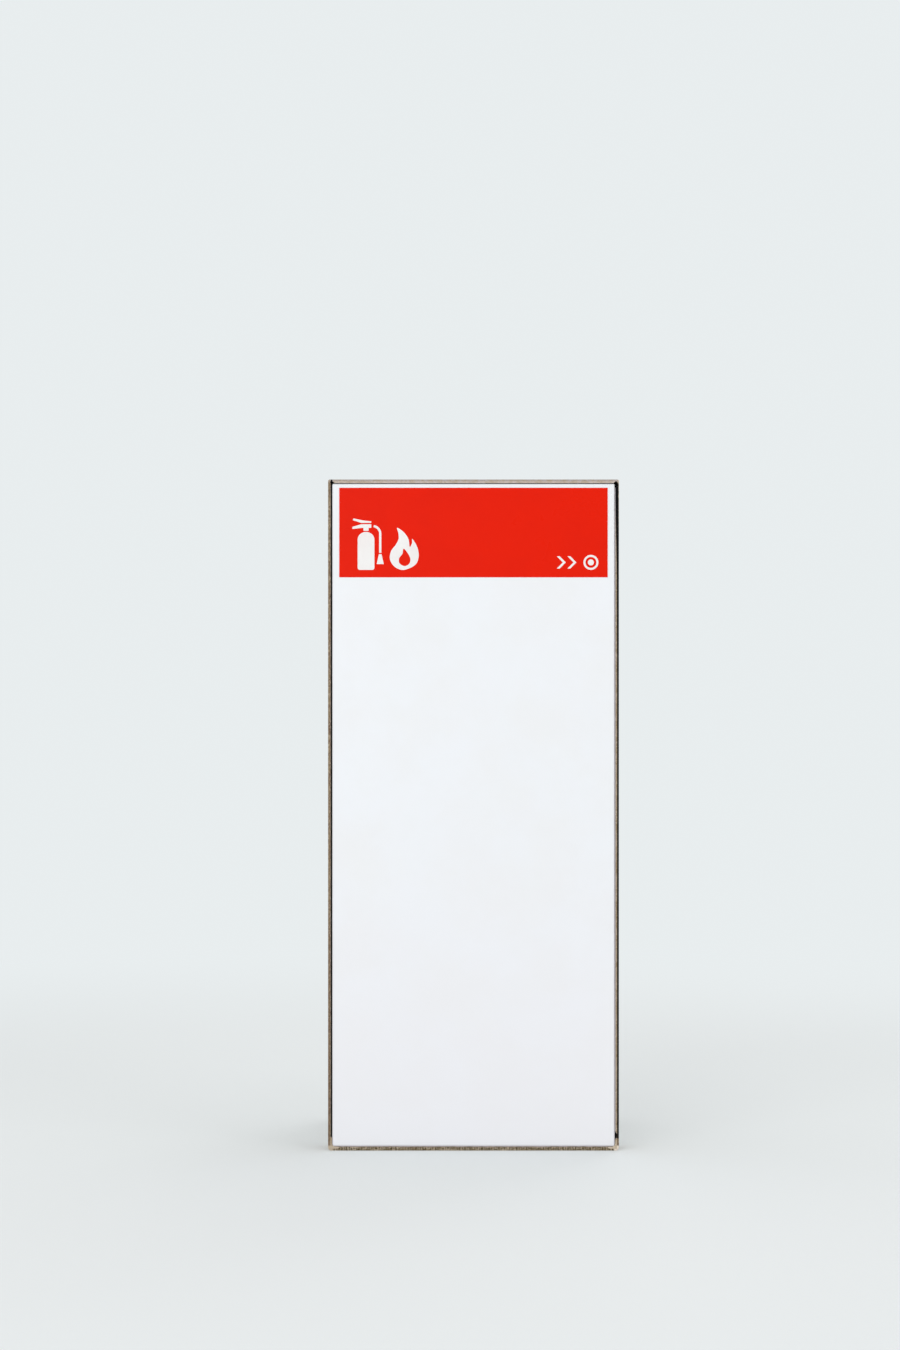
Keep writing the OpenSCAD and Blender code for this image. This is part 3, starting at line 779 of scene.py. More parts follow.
def fitting_tree():
    """A fastener on every point, each turned its own way."""
    tree, given = geometry_tree("fittings", [
        ("Fitting", "NodeSocketObject"), ("Size", FLOAT), ("Seed", "NodeSocketInt"),
        ("Material", "NodeSocketMaterial")])
    fitting = add_node(tree, "GeometryNodeObjectInfo", {"Object": given["Fitting"]})
    spin = add_node(tree, "FunctionNodeRandomValue", {2: 0.0, 3: 2 * math.pi,
                                                      "Seed": given["Seed"]}, data_type="FLOAT")
    set_on = add_node(tree, "GeometryNodeInstanceOnPoints", {
        "Points": given["Geometry"], "Instance": fitting.outputs["Geometry"],
        "Rotation": facing_rotation(tree, spin.outputs[1]), "Scale": given["Size"]})
    close_tree(tree, set_on.outputs[0], given["Material"])
    return tree


def weld_bead_tree():
    """Row of overlapping ripples along every line."""
    tree, given = geometry_tree("weld_beads", [
        ("Width", FLOAT), ("Height", FLOAT), ("Pitch", FLOAT), ("Seed", "NodeSocketInt"),
        ("Material", "NodeSocketMaterial")])
    path = add_node(tree, "GeometryNodeMeshToCurve", {0: given["Geometry"]})
    dots = add_node(tree, "GeometryNodeCurveToPoints", {"Curve": path.outputs[0],
                                                        "Length": given["Pitch"]}, mode="LENGTH")
    ripple = add_node(tree, "GeometryNodeMeshUVSphere", {"Segments": 12, "Rings": 6, "Radius": 0.5})
    flat = add_node(tree, "GeometryNodeTransform", {
        "Geometry": ripple.outputs[0],
        "Scale": add_node(tree, "ShaderNodeCombineXYZ", {
            0: given["Width"], 1: given["Width"],
            2: sum_of(tree, "MULTIPLY", given["Height"], 2.0)}).outputs[0]})
    uneven = add_node(tree, "FunctionNodeRandomValue", {2: 0.8, 3: 1.1, "Seed": given["Seed"]},
                      data_type="FLOAT")
    set_on = add_node(tree, "GeometryNodeInstanceOnPoints", {
        "Points": dots.outputs["Points"], "Instance": flat.outputs[0],
        "Rotation": facing_rotation(tree), "Scale": uneven.outputs[1]})
    close_tree(tree, set_on.outputs[0], given["Material"])
    return tree


def crumb_tree():
    """Irregular crumbs strewn along every line, within a section of the gap."""
    tree, given = geometry_tree("crumbs", [
        ("Size", FLOAT), ("Pitch", FLOAT), ("Spread Low", "NodeSocketVector"),
        ("Spread High", "NodeSocketVector"), ("Darkest Tone", FLOAT), ("Lightest Tone", FLOAT),
        ("Seed", "NodeSocketInt"), ("Material", "NodeSocketMaterial")])
    path = add_node(tree, "GeometryNodeMeshToCurve", {0: given["Geometry"]})
    dots = add_node(tree, "GeometryNodeCurveToPoints", {"Curve": path.outputs[0],
                                                        "Length": given["Pitch"]}, mode="LENGTH")
    strewn = add_node(tree, "FunctionNodeRandomValue", {
        0: given["Spread Low"], 1: given["Spread High"], "Seed": given["Seed"]},
        data_type="FLOAT_VECTOR")
    moved = add_node(tree, "GeometryNodeSetPosition", {"Geometry": dots.outputs["Points"],
                                                       "Offset": strewn.outputs[0]})
    ball = add_node(tree, "GeometryNodeMeshIcoSphere", {"Radius": 0.5, "Subdivisions": 2})
    seeds = [sum_of(tree, "ADD", given["Seed"], step) for step in (11.0, 23.0, 37.0)]
    turn = add_node(tree, "FunctionNodeRandomValue", {0: (0, 0, 0), 1: (6.28, 6.28, 6.28),
                                                      "Seed": seeds[0]}, data_type="FLOAT_VECTOR")
    shape = add_node(tree, "FunctionNodeRandomValue", {0: (0.35, 0.35, 0.3), 1: (1, 0.8, 0.6),
                                                       "Seed": seeds[1]}, data_type="FLOAT_VECTOR")
    sized = add_node(tree, "ShaderNodeVectorMath", {0: shape.outputs[0], "Scale": given["Size"]},
                     operation="SCALE")
    set_on = add_node(tree, "GeometryNodeInstanceOnPoints", {
        "Points": moved.outputs[0], "Instance": ball.outputs[0], "Rotation": turn.outputs[0],
        "Scale": sized.outputs[0]})
    tone = add_node(tree, "FunctionNodeRandomValue", {
        2: given["Darkest Tone"], 3: given["Lightest Tone"], "Seed": seeds[2]}, data_type="FLOAT")
    toned = add_node(tree, "GeometryNodeStoreNamedAttribute", {
        "Geometry": set_on.outputs[0], "Name": "tone", "Value": tone.outputs[1]},
        data_type="FLOAT", domain="INSTANCE")
    real = add_node(tree, "GeometryNodeRealizeInstances", {0: toned.outputs[0]})
    place = add_node(tree, "GeometryNodeInputPosition").outputs[0]
    rough = add_node(tree, "ShaderNodeTexNoise", {"Vector": place, "Scale": 2600.0, "Detail": 1.0})
    centred = add_node(tree, "ShaderNodeVectorMath", {0: rough.outputs["Color"], 1: (0.5, 0.5, 0.5)},
                       operation="SUBTRACT").outputs[0]
    pushed = add_node(tree, "ShaderNodeVectorMath", {
        0: centred, "Scale": sum_of(tree, "MULTIPLY", given["Size"], 0.55)}, operation="SCALE")
    broken = add_node(tree, "GeometryNodeSetPosition", {"Geometry": real.outputs[0],
                                                        "Offset": pushed.outputs[0]})
    close_tree(tree, broken.outputs[0], given["Material"])
    return tree


def lathe(bm, profile, sides):
    """Turns a profile of (radius, height) points round Z."""
    rings = []
    for radius, height in profile:
        if radius < 1e-7:
            rings.append([bm.verts.new((0, 0, height))])
            continue
        rings.append([bm.verts.new((radius * math.cos(a), radius * math.sin(a), height))
                      for a in (2 * math.pi * i / sides for i in range(sides))])
    for low, high in zip(rings, rings[1:]):
        for i in range(sides):
            j = (i + 1) % sides
            corners = [low[i % len(low)], low[j % len(low)], high[j % len(high)], high[i % len(high)]]
            bm.faces.new(list(dict.fromkeys(corners)))


def screw_template():
    """Pan head of unit diameter with a cross recess, its seat at Z 0."""
    bm = bmesh.new()
    lathe(bm, [(0, -0.02), (0.5, -0.02), (0.5, 0.10), (0.485, 0.17), (0.43, 0.25), (0.33, 0.30),
               (0.18, 0.325), (0, 0.33)], 32)
    head = link_object("screw_head_template", mesh_from(bm, "screw_head_template"))
    bm = bmesh.new()
    arm, wide, deep = 0.27, 0.062, 0.17
    top = [(arm, -wide), (arm, wide), (wide, wide), (wide, arm), (-wide, arm), (-wide, wide),
           (-arm, wide), (-arm, -wide), (-wide, -wide), (-wide, -arm), (wide, -arm), (wide, -wide)]
    upper = [bm.verts.new((x * 1.12, y * 1.12, 0.40)) for x, y in top]
    lower = [bm.verts.new((x * 0.62, y * 0.62, 0.33 - deep)) for x, y in top]
    bm.faces.new(upper)
    bm.faces.new(lower)
    for i in range(12):
        j = (i + 1) % 12
        bm.faces.new((upper[i], upper[j], lower[j], lower[i]))
    cutter = link_object("screw_cross_template", mesh_from(bm, "screw_cross_template"))
    cut = head.modifiers.new("cross", "BOOLEAN")
    cut.operation, cut.object, cut.solver = "DIFFERENCE", cutter, "EXACT"
    plain_result(head)
    bpy.data.objects.remove(cutter)
    return head


def rivet_template():
    """Blind rivet's head of unit diameter with the stub of its mandrel, its seat at Z 0."""
    bm = bmesh.new()
    lathe(bm, [(0, -0.02), (0.5, -0.02), (0.5, 0.03), (0.46, 0.10), (0.36, 0.17), (0.25, 0.205),
               (0.19, 0.21), (0.165, 0.195), (0.16, 0.12), (0.12, 0.12), (0.115, 0.16),
               (0.06, 0.175), (0, 0.17)], 28)
    return link_object("rivet_template", mesh_from(bm, "rivet_template"))


def plate_from_outline(bm, outline, holes, thickness):
    """Flat plate in X and Z from an outline and holes, its back at Y 0 and its front at minus."""
    loops = [outline, *holes]
    flat = [[Vector((x, z, 0)) for x, z in loop] for loop in loops]
    front = [bm.verts.new((p.x, -thickness, p.y)) for loop in flat for p in loop]
    back = [bm.verts.new((p.x, 0, p.y)) for loop in flat for p in loop]
    for a, b, c in tessellate_polygon(flat):
        bm.faces.new((front[a], front[b], front[c]))
        bm.faces.new((back[c], back[b], back[a]))
    first = 0
    for loop in loops:
        count = len(loop)
        for i in range(count):
            j = (i + 1) % count
            bm.faces.new((front[first + i], front[first + j], back[first + j], back[first + i]))
        first += count


def arc(centre_x, centre_z, radius, start, end, steps=16):
    """Points on an arc, its angles in degrees."""
    angles = (math.radians(start + (end - start) * i / steps) for i in range(steps + 1))
    return [(centre_x + radius * math.cos(a), centre_z + radius * math.sin(a)) for a in angles]


def full_circle(centre_x, centre_z, radius, steps=48):
    """Closed circle without its first point repeated."""
    return arc(centre_x, centre_z, radius, 0, 360, steps)[:-1]


def ribbon(points, width):
    """Outline of a stroke of even width along points."""
    left, right = [], []
    for i, (x, z) in enumerate(points):
        before, after = points[max(i - 1, 0)], points[min(i + 1, len(points) - 1)]
        run_x, run_z = after[0] - before[0], after[1] - before[1]
        length = math.hypot(run_x, run_z)
        off_x, off_z = -run_z / length * width / 2, run_x / length * width / 2
        left.append((x + off_x, z + off_z))
        right.append((x - off_x, z - off_z))
    return left + right[::-1]


def smooth_loop(points, steps=8):
    """Closed curve through points."""
    result = []
    count = len(points)
    for i in range(count):
        p0, p1, p2, p3 = (points[(i + k) % count] for k in (-1, 0, 1, 2))
        for s in range(steps):
            t = s / steps
            result.append(tuple(
                0.5 * (2 * b + (c - a) * t + (2 * a - 5 * b + 4 * c - d) * t * t
                       + (3 * b - a - 3 * c + d) * t ** 3)
                for a, b, c, d in zip(p0, p1, p2, p3)))
    return result


def extinguisher_outlines():
    """Plain extinguisher in a field 30 wide and 46 high: its outlines, each with its holes."""
    vessel = (arc(7, 2, 2, 180, 270, 6) + arc(18, 2, 2, 270, 360, 6)
              + [(20 - 7.5 * (1 - math.cos(math.radians(a))), 27 + 7 * math.sin(math.radians(a)))
                 for a in range(0, 90, 10)]
              + [(5 + 7.5 * (1 - math.cos(math.radians(a))), 27 + 7 * math.sin(math.radians(a)))
                 for a in range(80, -1, -10)])
    neck = [(10.2, 34.9), (14.8, 34.9), (14.8, 37.6), (17.2, 37.6), (17.2, 40.8), (8.4, 40.8),
            (0.6, 38.6), (0.0, 36.9), (0.9, 36.6), (9.0, 37.6), (10.2, 37.6)]
    lever = [(8.2, 42.0), (17.2, 42.0), (17.2, 43.4), (10.0, 44.2), (1.4, 46.0), (0.6, 44.5)]
    bend = arc(18.4, 32.4, 6.8, 82, 0, 14) + [(25.2, 26.0), (25.2, 15.2)]
    horn = [(24.0, 14.0), (26.4, 14.0), (28.4, 5.2), (22.0, 5.2)]
    return [(vessel, []), (neck, []), (lever, []), (ribbon(bend, 2.0), []), (horn, [])]


def flame_outlines():
    """Plain flame in a field 28 wide and 38 high."""
    body = smooth_loop([(13.5, 0), (5.6, 2.4), (1.0, 9.0), (1.8, 16.6), (6.0, 22.4), (8.6, 27.6),
                        (8.4, 33.0), (7.4, 37.6), (13.2, 33.8), (17.4, 27.6), (18.6, 20.6),
                        (20.6, 24.0), (21.0, 27.6), (25.2, 20.6), (26.6, 12.4), (23.6, 4.6)])
    heart = smooth_loop([(13.8, 3.4), (9.4, 6.0), (9.2, 10.4), (12.0, 14.4), (13.2, 19.0),
                         (17.0, 14.6), (19.2, 9.6), (17.8, 5.2)])
    return [(body, [heart])]


def press_outlines():
    """Two arrowheads that point at a ring with a dot."""
    arrows = [[(x, 1.2), (x + 2.6, 1.2), (x + 8.0, 6.7), (x + 2.6, 12.2), (x, 12.2), (x + 5.4, 6.7)]
              for x in (0, 9.5)]
    ring = (full_circle(30.5, 6.7, 6.7), [full_circle(30.5, 6.7, 4.9)])
    return [(shape, []) for shape in arrows] + [ring, (full_circle(30.5, 6.7, 2.7, 32), [])]


def strip_mesh(name, stations, section):
    """Closed strip whose section, a function of the station, gives its points in order."""
    bm = bmesh.new()
    rings = [[bm.verts.new(p) for p in section(s)] for s in stations]
    count = len(rings[0])
    for one, other in zip(rings, rings[1:]):
        for i in range(count):
            j = (i + 1) % count
            bm.faces.new((one[i], one[j], other[j], other[i]))
    bm.faces.new(rings[0])
    bm.faces.new(rings[-1])
    return mesh_from(bm, name)


def ragged(place, amount, pitch):
    """Small fixed offset for a place, rough at the pitch and at a third of it."""
    spot = Vector(place) / pitch
    return amount * (noise.noise(spot) + 0.5 * noise.noise(spot * 3.1))


def filler_strip(name, side, start, end, thick, step, uneven, pitch, depth, most):
    """Bead of old filler on the inner face of one side of the frame, with a step behind it."""
    wall_x, wall_top = FRAME_HIGH.x - FRAME_SHEET, CABINET_TOP - FRAME_SHEET
    front, sunk = FRAME_LOW.y + 0.05 * MM, -0.2 * MM
    count = round((end - start) / (0.5 * MM))
    salt = len(side) * MM

    def section(s):
        taper = min(1.0, (min(s - start, end - s) + 0.4 * MM) / (2.4 * MM))
        swell = max(thick * taper + ragged((s, 0, salt), uneven, pitch), 0.1 * MM)
        swell = min(swell, most)
        shelf = max(min(step * taper, most), swell)
        nose = 0.1 * MM + abs(ragged((s, MM, salt), 0.22 * MM, 1.3 * MM))
        points = [(sunk, 0.0)]
        for share, drop in ((0.3, 0.0), (0.6, 0.15), (0.85, 0.4), (1.0, 1.0)):
            dent = abs(ragged((s, share * swell, salt), 0.14 * MM, 0.8 * MM))
            points.append((swell * share, nose * drop + dent))
        points += [(swell, 0.45 * MM + nose), (shelf, 0.55 * MM + nose), (shelf, depth * 0.5),
                   (swell * 0.6, depth), (sunk, depth)]
        if side == "top":
            return [(s, front + y, wall_top - inward) for inward, y in points]
        if side == "bottom":
            return [(s, front + y, FRAME_SHEET + inward) for inward, y in points]
        sign = 1 if side == "right" else -1
        return [(sign * (wall_x - inward), front + y, s) for inward, y in points]

    return link_object(name, strip_mesh(name, even(start, end, count), section))


def corner_plug(name, sign, height, tail, clear, hollow):
    """Filler in a lower corner of the frame, hollowed round the door's rounded corner."""
    wall_x, wall_z = FRAME_HIGH.x - FRAME_SHEET, FRAME_SHEET
    front, sunk = FRAME_LOW.y + 0.08 * MM, 0.3 * MM
    door_r = 2.7 * MM
    centre_x, centre_z = DOOR_HIGH.x - door_r, DOOR_LOW.z + door_r
    reach = door_r + clear
    # Rows of an inner point beside the door and an outer point in the frame's sheet
    rows = [((centre_x + reach, z), (wall_x + sunk, z)) for z in even(height, centre_z, 18)]
    for angle in even(0.0, math.pi / 2, 22)[1:]:
        run, drop = math.cos(angle), math.sin(angle)
        far = min((wall_x + sunk - centre_x) / max(run, 0.01),
                  (centre_z - wall_z + sunk) / max(drop, 0.01))
        rows.append(((centre_x + reach * run, centre_z - reach * drop),
                     (centre_x + far * run, centre_z - far * drop)))
    rows += [((x, centre_z - reach), (x, wall_z - sunk))
             for x in even(centre_x, centre_x - tail, 14)[1:]]
    # Steps across the filler from the sheet to the door, with the depth there. A thin lip reaches in
    # front of the door's rounded edge, and what lies deeper leaves the swinging door its room.
    steps = [(1.0, 0.0), (0.82, 0.0), (0.64, 0.02), (0.46, 0.04), (0.28, 0.08), (0.12, 0.16),
             (0.0, 0.4), (0.0, 1.1), (hollow, 2.6), (hollow, 6.0), (1.0, 6.0)]
    rings = []
    for index, ((inner_x, inner_z), (outer_x, outer_z)) in enumerate(rows):
        end = min(index, len(rows) - 1 - index)
        ragged_end = abs(ragged((index * 0.4 * MM, 0, height), 0.5 * MM, 1.5 * MM))
        keep = min(1.0, 0.35 + 0.16 * end) - (ragged_end / reach if end < 5 else 0.0)
        ring = []
        for share, drop in steps:
            blend = 1 - (1 - share) * keep
            x, z = inner_x + (outer_x - inner_x) * blend, inner_z + (outer_z - inner_z) * blend
            dent = abs(ragged((x, 0, z), 0.2 * MM, 1.2 * MM)) if share < 0.9 and drop < 1 else 0.0
            ring.append((sign * x, front + drop * MM + dent, z))
        rings.append(ring)
    return link_object(name, strip_mesh(name, range(len(rings)), lambda s: rings[s]))


def even(start, end, count):
    """Evenly spaced places from start to end."""
    return [start + (end - start) * i / (count - 1) for i in range(count)]


# Operators

class CABINET_OT_door_paint(bpy.types.Operator):
    """Paints the door pan and its stiffener white"""
    bl_idname = "cabinet.door_paint"
    bl_label = "Door paint"

    def execute(self, context):
        paint = context.scene.cabinet_paint
        material = paint_material("door_paint", paint.door_colour, grouped_effects(), paint,
                                  rough=0.34, dust=0.25, scuffs=0.0, edge=0.0, low=0.5)
        coat_nodes(material, "door_pan", "door_stiffener")
        return {"FINISHED"}


class CABINET_OT_box_paint(bpy.types.Operator):
    """Paints the five panels of the box, with dust and rubbed lines"""
    bl_idname = "cabinet.box_paint"
    bl_label = "Box paint"

    def execute(self, context):
        paint = context.scene.cabinet_paint
        material = paint_material("box_paint", paint.box_colour, grouped_effects(), paint,
                                  rough=0.46, dust=0.55, scuffs=0.7, edge=0.6, low=0.5)
        coat_nodes(material, "back_panel", "left_side_panel", "right_side_panel", "top_panel",
                   "bottom_panel")
        return {"FINISHED"}


class CABINET_OT_frame_finish(bpy.types.Operator):
    """Paints the frame beige, with its dirty front edge"""
    bl_idname = "cabinet.frame_finish"
    bl_label = "Frame finish"

    def execute(self, context):
        scene = context.scene
        coat_nodes(frame_material(scene.cabinet_paint, scene.cabinet_edge), "frame_left",
                   "frame_right", "frame_top", "frame_bottom")
        return {"FINISHED"}


class CABINET_OT_gap_filler(bpy.types.Operator):
    """Lays the old filler along the inside of the frame and in its lower corners"""
    bl_idname = "cabinet.gap_filler"
    bl_label = "Gap filler"

    def execute(self, context):
        edge = context.scene.cabinet_edge
        hinge = filler_material("hinge_side_filler", edge.tan, edge.tan, edge.brown, edge, 0.55)
        dull = [c * 0.76 for c in edge.clay]
        # Painted shade: the latch side filler carries the black line as of a gap
        latch = filler_material("latch_side_filler", dull, dull, edge.tan, edge, 0.0, latch_shaded=True)
        # Partly the filler's own tone, partly painted light: its tone, between clay and mauve, is raised
        # a fifth against the shade under the upper rail
        pale = [0.5 * (a + b) * 1.2 for a, b in zip(edge.clay, edge.mauve)]
        upper = filler_material("upper_filler", pale, pale, edge.clay, edge, 0.0)
        smeared = filler_material("corner_filler", edge.tan, edge.beige, edge.clay, edge, 0.35)
        chalky = filler_material("chalky_filler", edge.tan, edge.chalk, edge.beige, edge, 0.2)
        crumbly = filler_material("lower_filler", edge.beige, edge.beige, edge.tan, edge, None)
        tail = 5 * MM
        fills = [
            (filler_strip("left_filler", "left", 11.5 * MM, 598.2 * MM, 0.62 * MM, 0.62 * MM,
                          0.2 * MM, 2.4 * MM, 6 * MM, 1 * MM), hinge),
            (filler_strip("right_filler", "right", 15 * MM, 594.5 * MM, 1.35 * MM, 1.72 * MM,
                          0.1 * MM, 2.4 * MM, 5 * MM, 1.74 * MM), latch),
            (filler_strip("top_filler", "top", DOOR_LOW.x + 0.3 * MM, 127.2 * MM, 1.91 * MM,
                          1.93 * MM, 0.03 * MM, 2.4 * MM, 5 * MM, 1.95 * MM), upper),
            (filler_strip("bottom_filler", "bottom", DOOR_LOW.x + tail, DOOR_HIGH.x - tail,
                          1.7 * MM, 1.86 * MM, 0.4 * MM, 1.1 * MM, 5 * MM, 1.9 * MM), crumbly),
            (corner_plug("left_corner_filler", -1, 12.7 * MM, tail, 0.07 * MM, 0.45), smeared),
            (corner_plug("right_corner_filler", 1, 11 * MM, tail + 2 * MM, 0.24 * MM, 0.12),
             chalky)]
        for piece, material in fills:
            piece.data.materials.append(material)
            finish_piece(piece, "box", smooth=True)
        return {"FINISHED"}


class CABINET_OT_crumbs(bpy.types.Operator):
    """Strews crumbs in the gap under the door and along the frame's inner edge"""
    bl_idname = "cabinet.crumbs"
    bl_label = "Crumbs"

    def execute(self, context):
        edge = context.scene.cabinet_edge
        front, rail = FRAME_LOW.y, FRAME_SHEET
        tree, material = crumb_tree(), crumb_material(edge)
        sets = [("gap_crumbs", edge.crumb_size, edge.crumb_pitch, (0, -0.1 * MM, 0.2 * MM),
                 (0, 1.6 * MM, 1.2 * MM), 0.05, 0.85),
                ("rail_beads", edge.bead_size, edge.bead_pitch, (-0.5 * MM, 0.1 * MM, 0.3 * MM),
                 (0.5 * MM, 0.5 * MM, 0.75 * MM), 0.7, 1.0)]
        for name, size, pitch, low, high, darkest, lightest in sets:
            line = ((DOOR_LOW.x + 3 * MM, front + 0.65 * MM, rail),
                    (DOOR_HIGH.x - 3 * MM, front + 0.65 * MM, rail), (0, 0, 1))
            crumbs = lines_object(name, [line])
            run_tree(crumbs, tree, {
                "Size": size, "Pitch": pitch, "Spread Low": low, "Spread High": high,
                "Darkest Tone": darkest, "Lightest Tone": lightest, "Seed": edge.seed,
                "Material": material})
            finish_piece(crumbs, "box")
        return {"FINISHED"}


class CABINET_OT_sign(bpy.types.Operator):
    """Colours the band and lays plain white marks on it: an extinguisher, a flame and a press point"""
    bl_idname = "cabinet.sign"
    bl_label = "Sign"

    def execute(self, context):
        sign = context.scene.cabinet_sign
        coat_nodes(film_material("red_film", sign.red, 0.3), "sign_band")
        bm = bmesh.new()
        size = sign.mark_height / (46 * MM)
        low = BAND_HIGH.z - 73.4 * MM
        groups = [(extinguisher_outlines(), BAND_LOW.x + 11.4 * MM, size),
                  (flame_outlines(), BAND_LOW.x + 11.4 * MM + 33 * MM * size, size),
                  (press_outlines(), BAND_LOW.x + 194.5 * MM, 1.0)]
        for outlines, left, scale in groups:
            for outline, holes in outlines:
                placed = [[(left + x * MM * scale, low + z * MM * scale) for x, z in loop]
                          for loop in (outline, *holes)]
                plate_from_outline(bm, placed[0], placed[1:], sign.film)
        bmesh.ops.translate(bm, verts=bm.verts, vec=(0, BAND_LOW.y, 0))
        marks = link_object("sign_marks", mesh_from(bm, "sign_marks"))
        marks.data.materials.append(film_material("white_film", sign.white, 0.33))
        finish_piece(marks, "door")
        return {"FINISHED"}


class CABINET_OT_metal_finish(bpy.types.Operator):
    """Zinc on pins, hinge plates, plunger and strike plate; grain on the latch and the bumpers"""
    bl_idname = "cabinet.metal_finish"
    bl_label = "Metal, latch and bumpers"

    def execute(self, context):
        coat_nodes(zinc_material(), "upper_pivot_pin", "lower_pivot_pin", "latch_plunger",
                   "upper_hinge_plate", "lower_hinge_plate", "strike_plate")
        coat_nodes(moulded_material("latch_body", (0.028, 0.028, 0.03), 0.42, 0.5 * MM,
                                    0.012 * MM, 0.5), "latch_housing")
        coat_nodes(moulded_material("bumper_rubber", (0.02, 0.02, 0.021), 0.75, 0.3 * MM,
                                    0.02 * MM, 0.5), "upper_bumper", "lower_bumper")
        return {"FINISHED"}


class CABINET_OT_spot_welds(bpy.types.Operator):
    """Marks the spot welds of the box, the frame and the door"""
    bl_idname = "cabinet.spot_welds"
    bl_label = "Spot welds"

    def execute(self, context):
        scene = context.scene
        fastener = scene.cabinet_fasteners
        heights = even(25 * MM, CABINET_TOP - 25 * MM, 8)
        across = even(-100 * MM, 100 * MM, 5)
        along = even(BOX_LOW.y + 14 * MM, BOX_HIGH.y - 14 * MM, 5)
        side, seam, sunk = 124 * MM, 6 * MM, 0.09 * MM
        rear = BOX_HIGH.y + BOX_SHEET - sunk
        frame_marks, box_marks = [], []
        for sign in (-1, 1):
            for z in heights:
                frame_marks.append(((sign * side, STOP_FACE, z), (0, -1, 0)))
                box_marks.append(((sign * side, rear, z), (0, 1, 0)))
                box_marks.append(((sign * side, BOX_HIGH.y - BOX_SHEET, z), (0, -1, 0)))
        for z in (seam, CABINET_TOP - seam):
            for x in across:
                frame_marks.append(((x, STOP_FACE, z), (0, -1, 0)))
                box_marks.append(((x, rear, z), (0, 1, 0)))
                box_marks.append(((x, BOX_HIGH.y - BOX_SHEET, z), (0, -1, 0)))
            for y in along:
                for sign in (-1, 1):
                    box_marks.append(((sign * (BOX_HIGH.x - sunk), y, z), (sign, 0, 0)))
                    inner = BOX_HIGH.x - 2 * BOX_SHEET
                    box_marks.append(((sign * inner, y, z), (-sign, 0, 0)))
        foot_x, foot_y = STIFFENER_HIGH.x - 5.5 * MM, STIFFENER_LOW.y + 1.0 * MM
        door_marks = [((sign * foot_x, foot_y, z), (0, 1, 0)) for sign in (-1, 1)
                      for z in even(STIFFENER_LOW.z + 20 * MM, STIFFENER_HIGH.z - 20 * MM, 9)]
        plate_y = (HINGE_LOW.y + HINGE_HIGH.y) / 2
        leg = 3 * MM
        for z, level, up in ((HINGE_HIGH.z - 8 * MM, HINGE_LOW.z + leg, 1),
                             (CABINET_TOP - HINGE_HIGH.z + 8 * MM, CABINET_TOP - HINGE_LOW.z - leg, -1)):
            door_marks.append(((HINGE_LOW.x + leg, plate_y, z), (1, 0, 0)))
            door_marks.append(((HINGE_HIGH.x - 6 * MM, plate_y, level), (0, 0, up)))
        tree = spot_weld_tree()
        sets = [("frame_spot_welds", frame_marks, "box", "frame_paint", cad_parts["frame_left"]),
                ("box_spot_welds", box_marks, "box", "box_paint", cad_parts["back_panel"]),
                ("door_spot_welds", door_marks, "door", "white_paint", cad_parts["door_pan"])]
        for name, marks, body, slot, like in sets:
            welds = marks_object(name, marks)
            run_tree(welds, tree, {"Diameter": fastener.weld_diameter,
                                   "Rim Height": fastener.weld_rim,
                                   "Material": like.material_slots[0].material})
            finish_piece(welds, body, smooth=True)
        return {"FINISHED"}


class CABINET_OT_mitre_welds(bpy.types.Operator):
    """Runs a ground bead along the four mitres of the frame"""
    bl_idname = "cabinet.mitre_welds"
    bl_label = "Mitre welds"

    def execute(self, context):
        fastener = context.scene.cabinet_fasteners
        inner_x, outer_x = FRAME_HIGH.x - FLANGE_EDGE + 0.8 * MM, FRAME_HIGH.x - FRAME_SHEET
        lines = []
        for sign in (-1, 1):
            for base, up in ((0, 1), (CABINET_TOP, -1)):
                lines.append(((sign * outer_x, STOP_FACE, base + up * FRAME_SHEET),
                              (sign * inner_x, STOP_FACE, base + up * (FLANGE_EDGE - 0.8 * MM)),
                              (0, -1, 0)))
                corner = (sign * outer_x, base + up * FRAME_SHEET)
                lines.append(((corner[0], FRAME_LOW.y + 7 * MM, corner[1]),
                              (corner[0], STOP_FACE, corner[1]), (-sign, 0, up)))
        beads = lines_object("mitre_welds", lines)
        run_tree(beads, weld_bead_tree(), {
            "Width": fastener.bead_width, "Height": fastener.bead_width * 0.22,
            "Pitch": fastener.bead_width * 0.35, "Seed": 3,
            "Material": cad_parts["frame_left"].material_slots[0].material})
        finish_piece(beads, "box", smooth=True)
        return {"FINISHED"}


class CABINET_OT_fittings(bpy.types.Operator):
    """Sets the screws in the latch's ears and the rivets in the strike plate"""
    bl_idname = "cabinet.fittings"
    bl_label = "Screws and rivets"

    def execute(self, context):
        fastener = context.scene.cabinet_fasteners
        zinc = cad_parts["strike_plate"].material_slots[0].material
        tree = fitting_tree()
        ear_x, ear_z = BOX_HIGH.x - BOX_SHEET - 3 * MM, 26.5 * MM
        latch_y, latch_z = LATCH_HIGH.y - 15 * MM, (LATCH_LOW.z + LATCH_HIGH.z) / 2
        strike_x = (STRIKE_LOW.x + STRIKE_HIGH.x) / 2
        strike_z = (STRIKE_LOW.z + STRIKE_HIGH.z) / 2
        sets = [("latch_screws", screw_template(), fastener.screw_head, "box",
                 [((ear_x, latch_y, latch_z + s * ear_z), (-1, 0, 0)) for s in (-1, 1)]),
                ("strike_rivets", rivet_template(), fastener.rivet_head, "door",
                 [((strike_x, STRIKE_HIGH.y, strike_z + s * 10.5 * MM), (0, 1, 0)) for s in (-1, 1)])]
        for name, template, size, body, marks in sets:
            heads = marks_object(name, marks)
            run_tree(heads, tree, {"Fitting": template, "Size": size, "Seed": 5, "Material": zinc})
            bpy.data.objects.remove(template)
            finish_piece(heads, body)
        return {"FINISHED"}


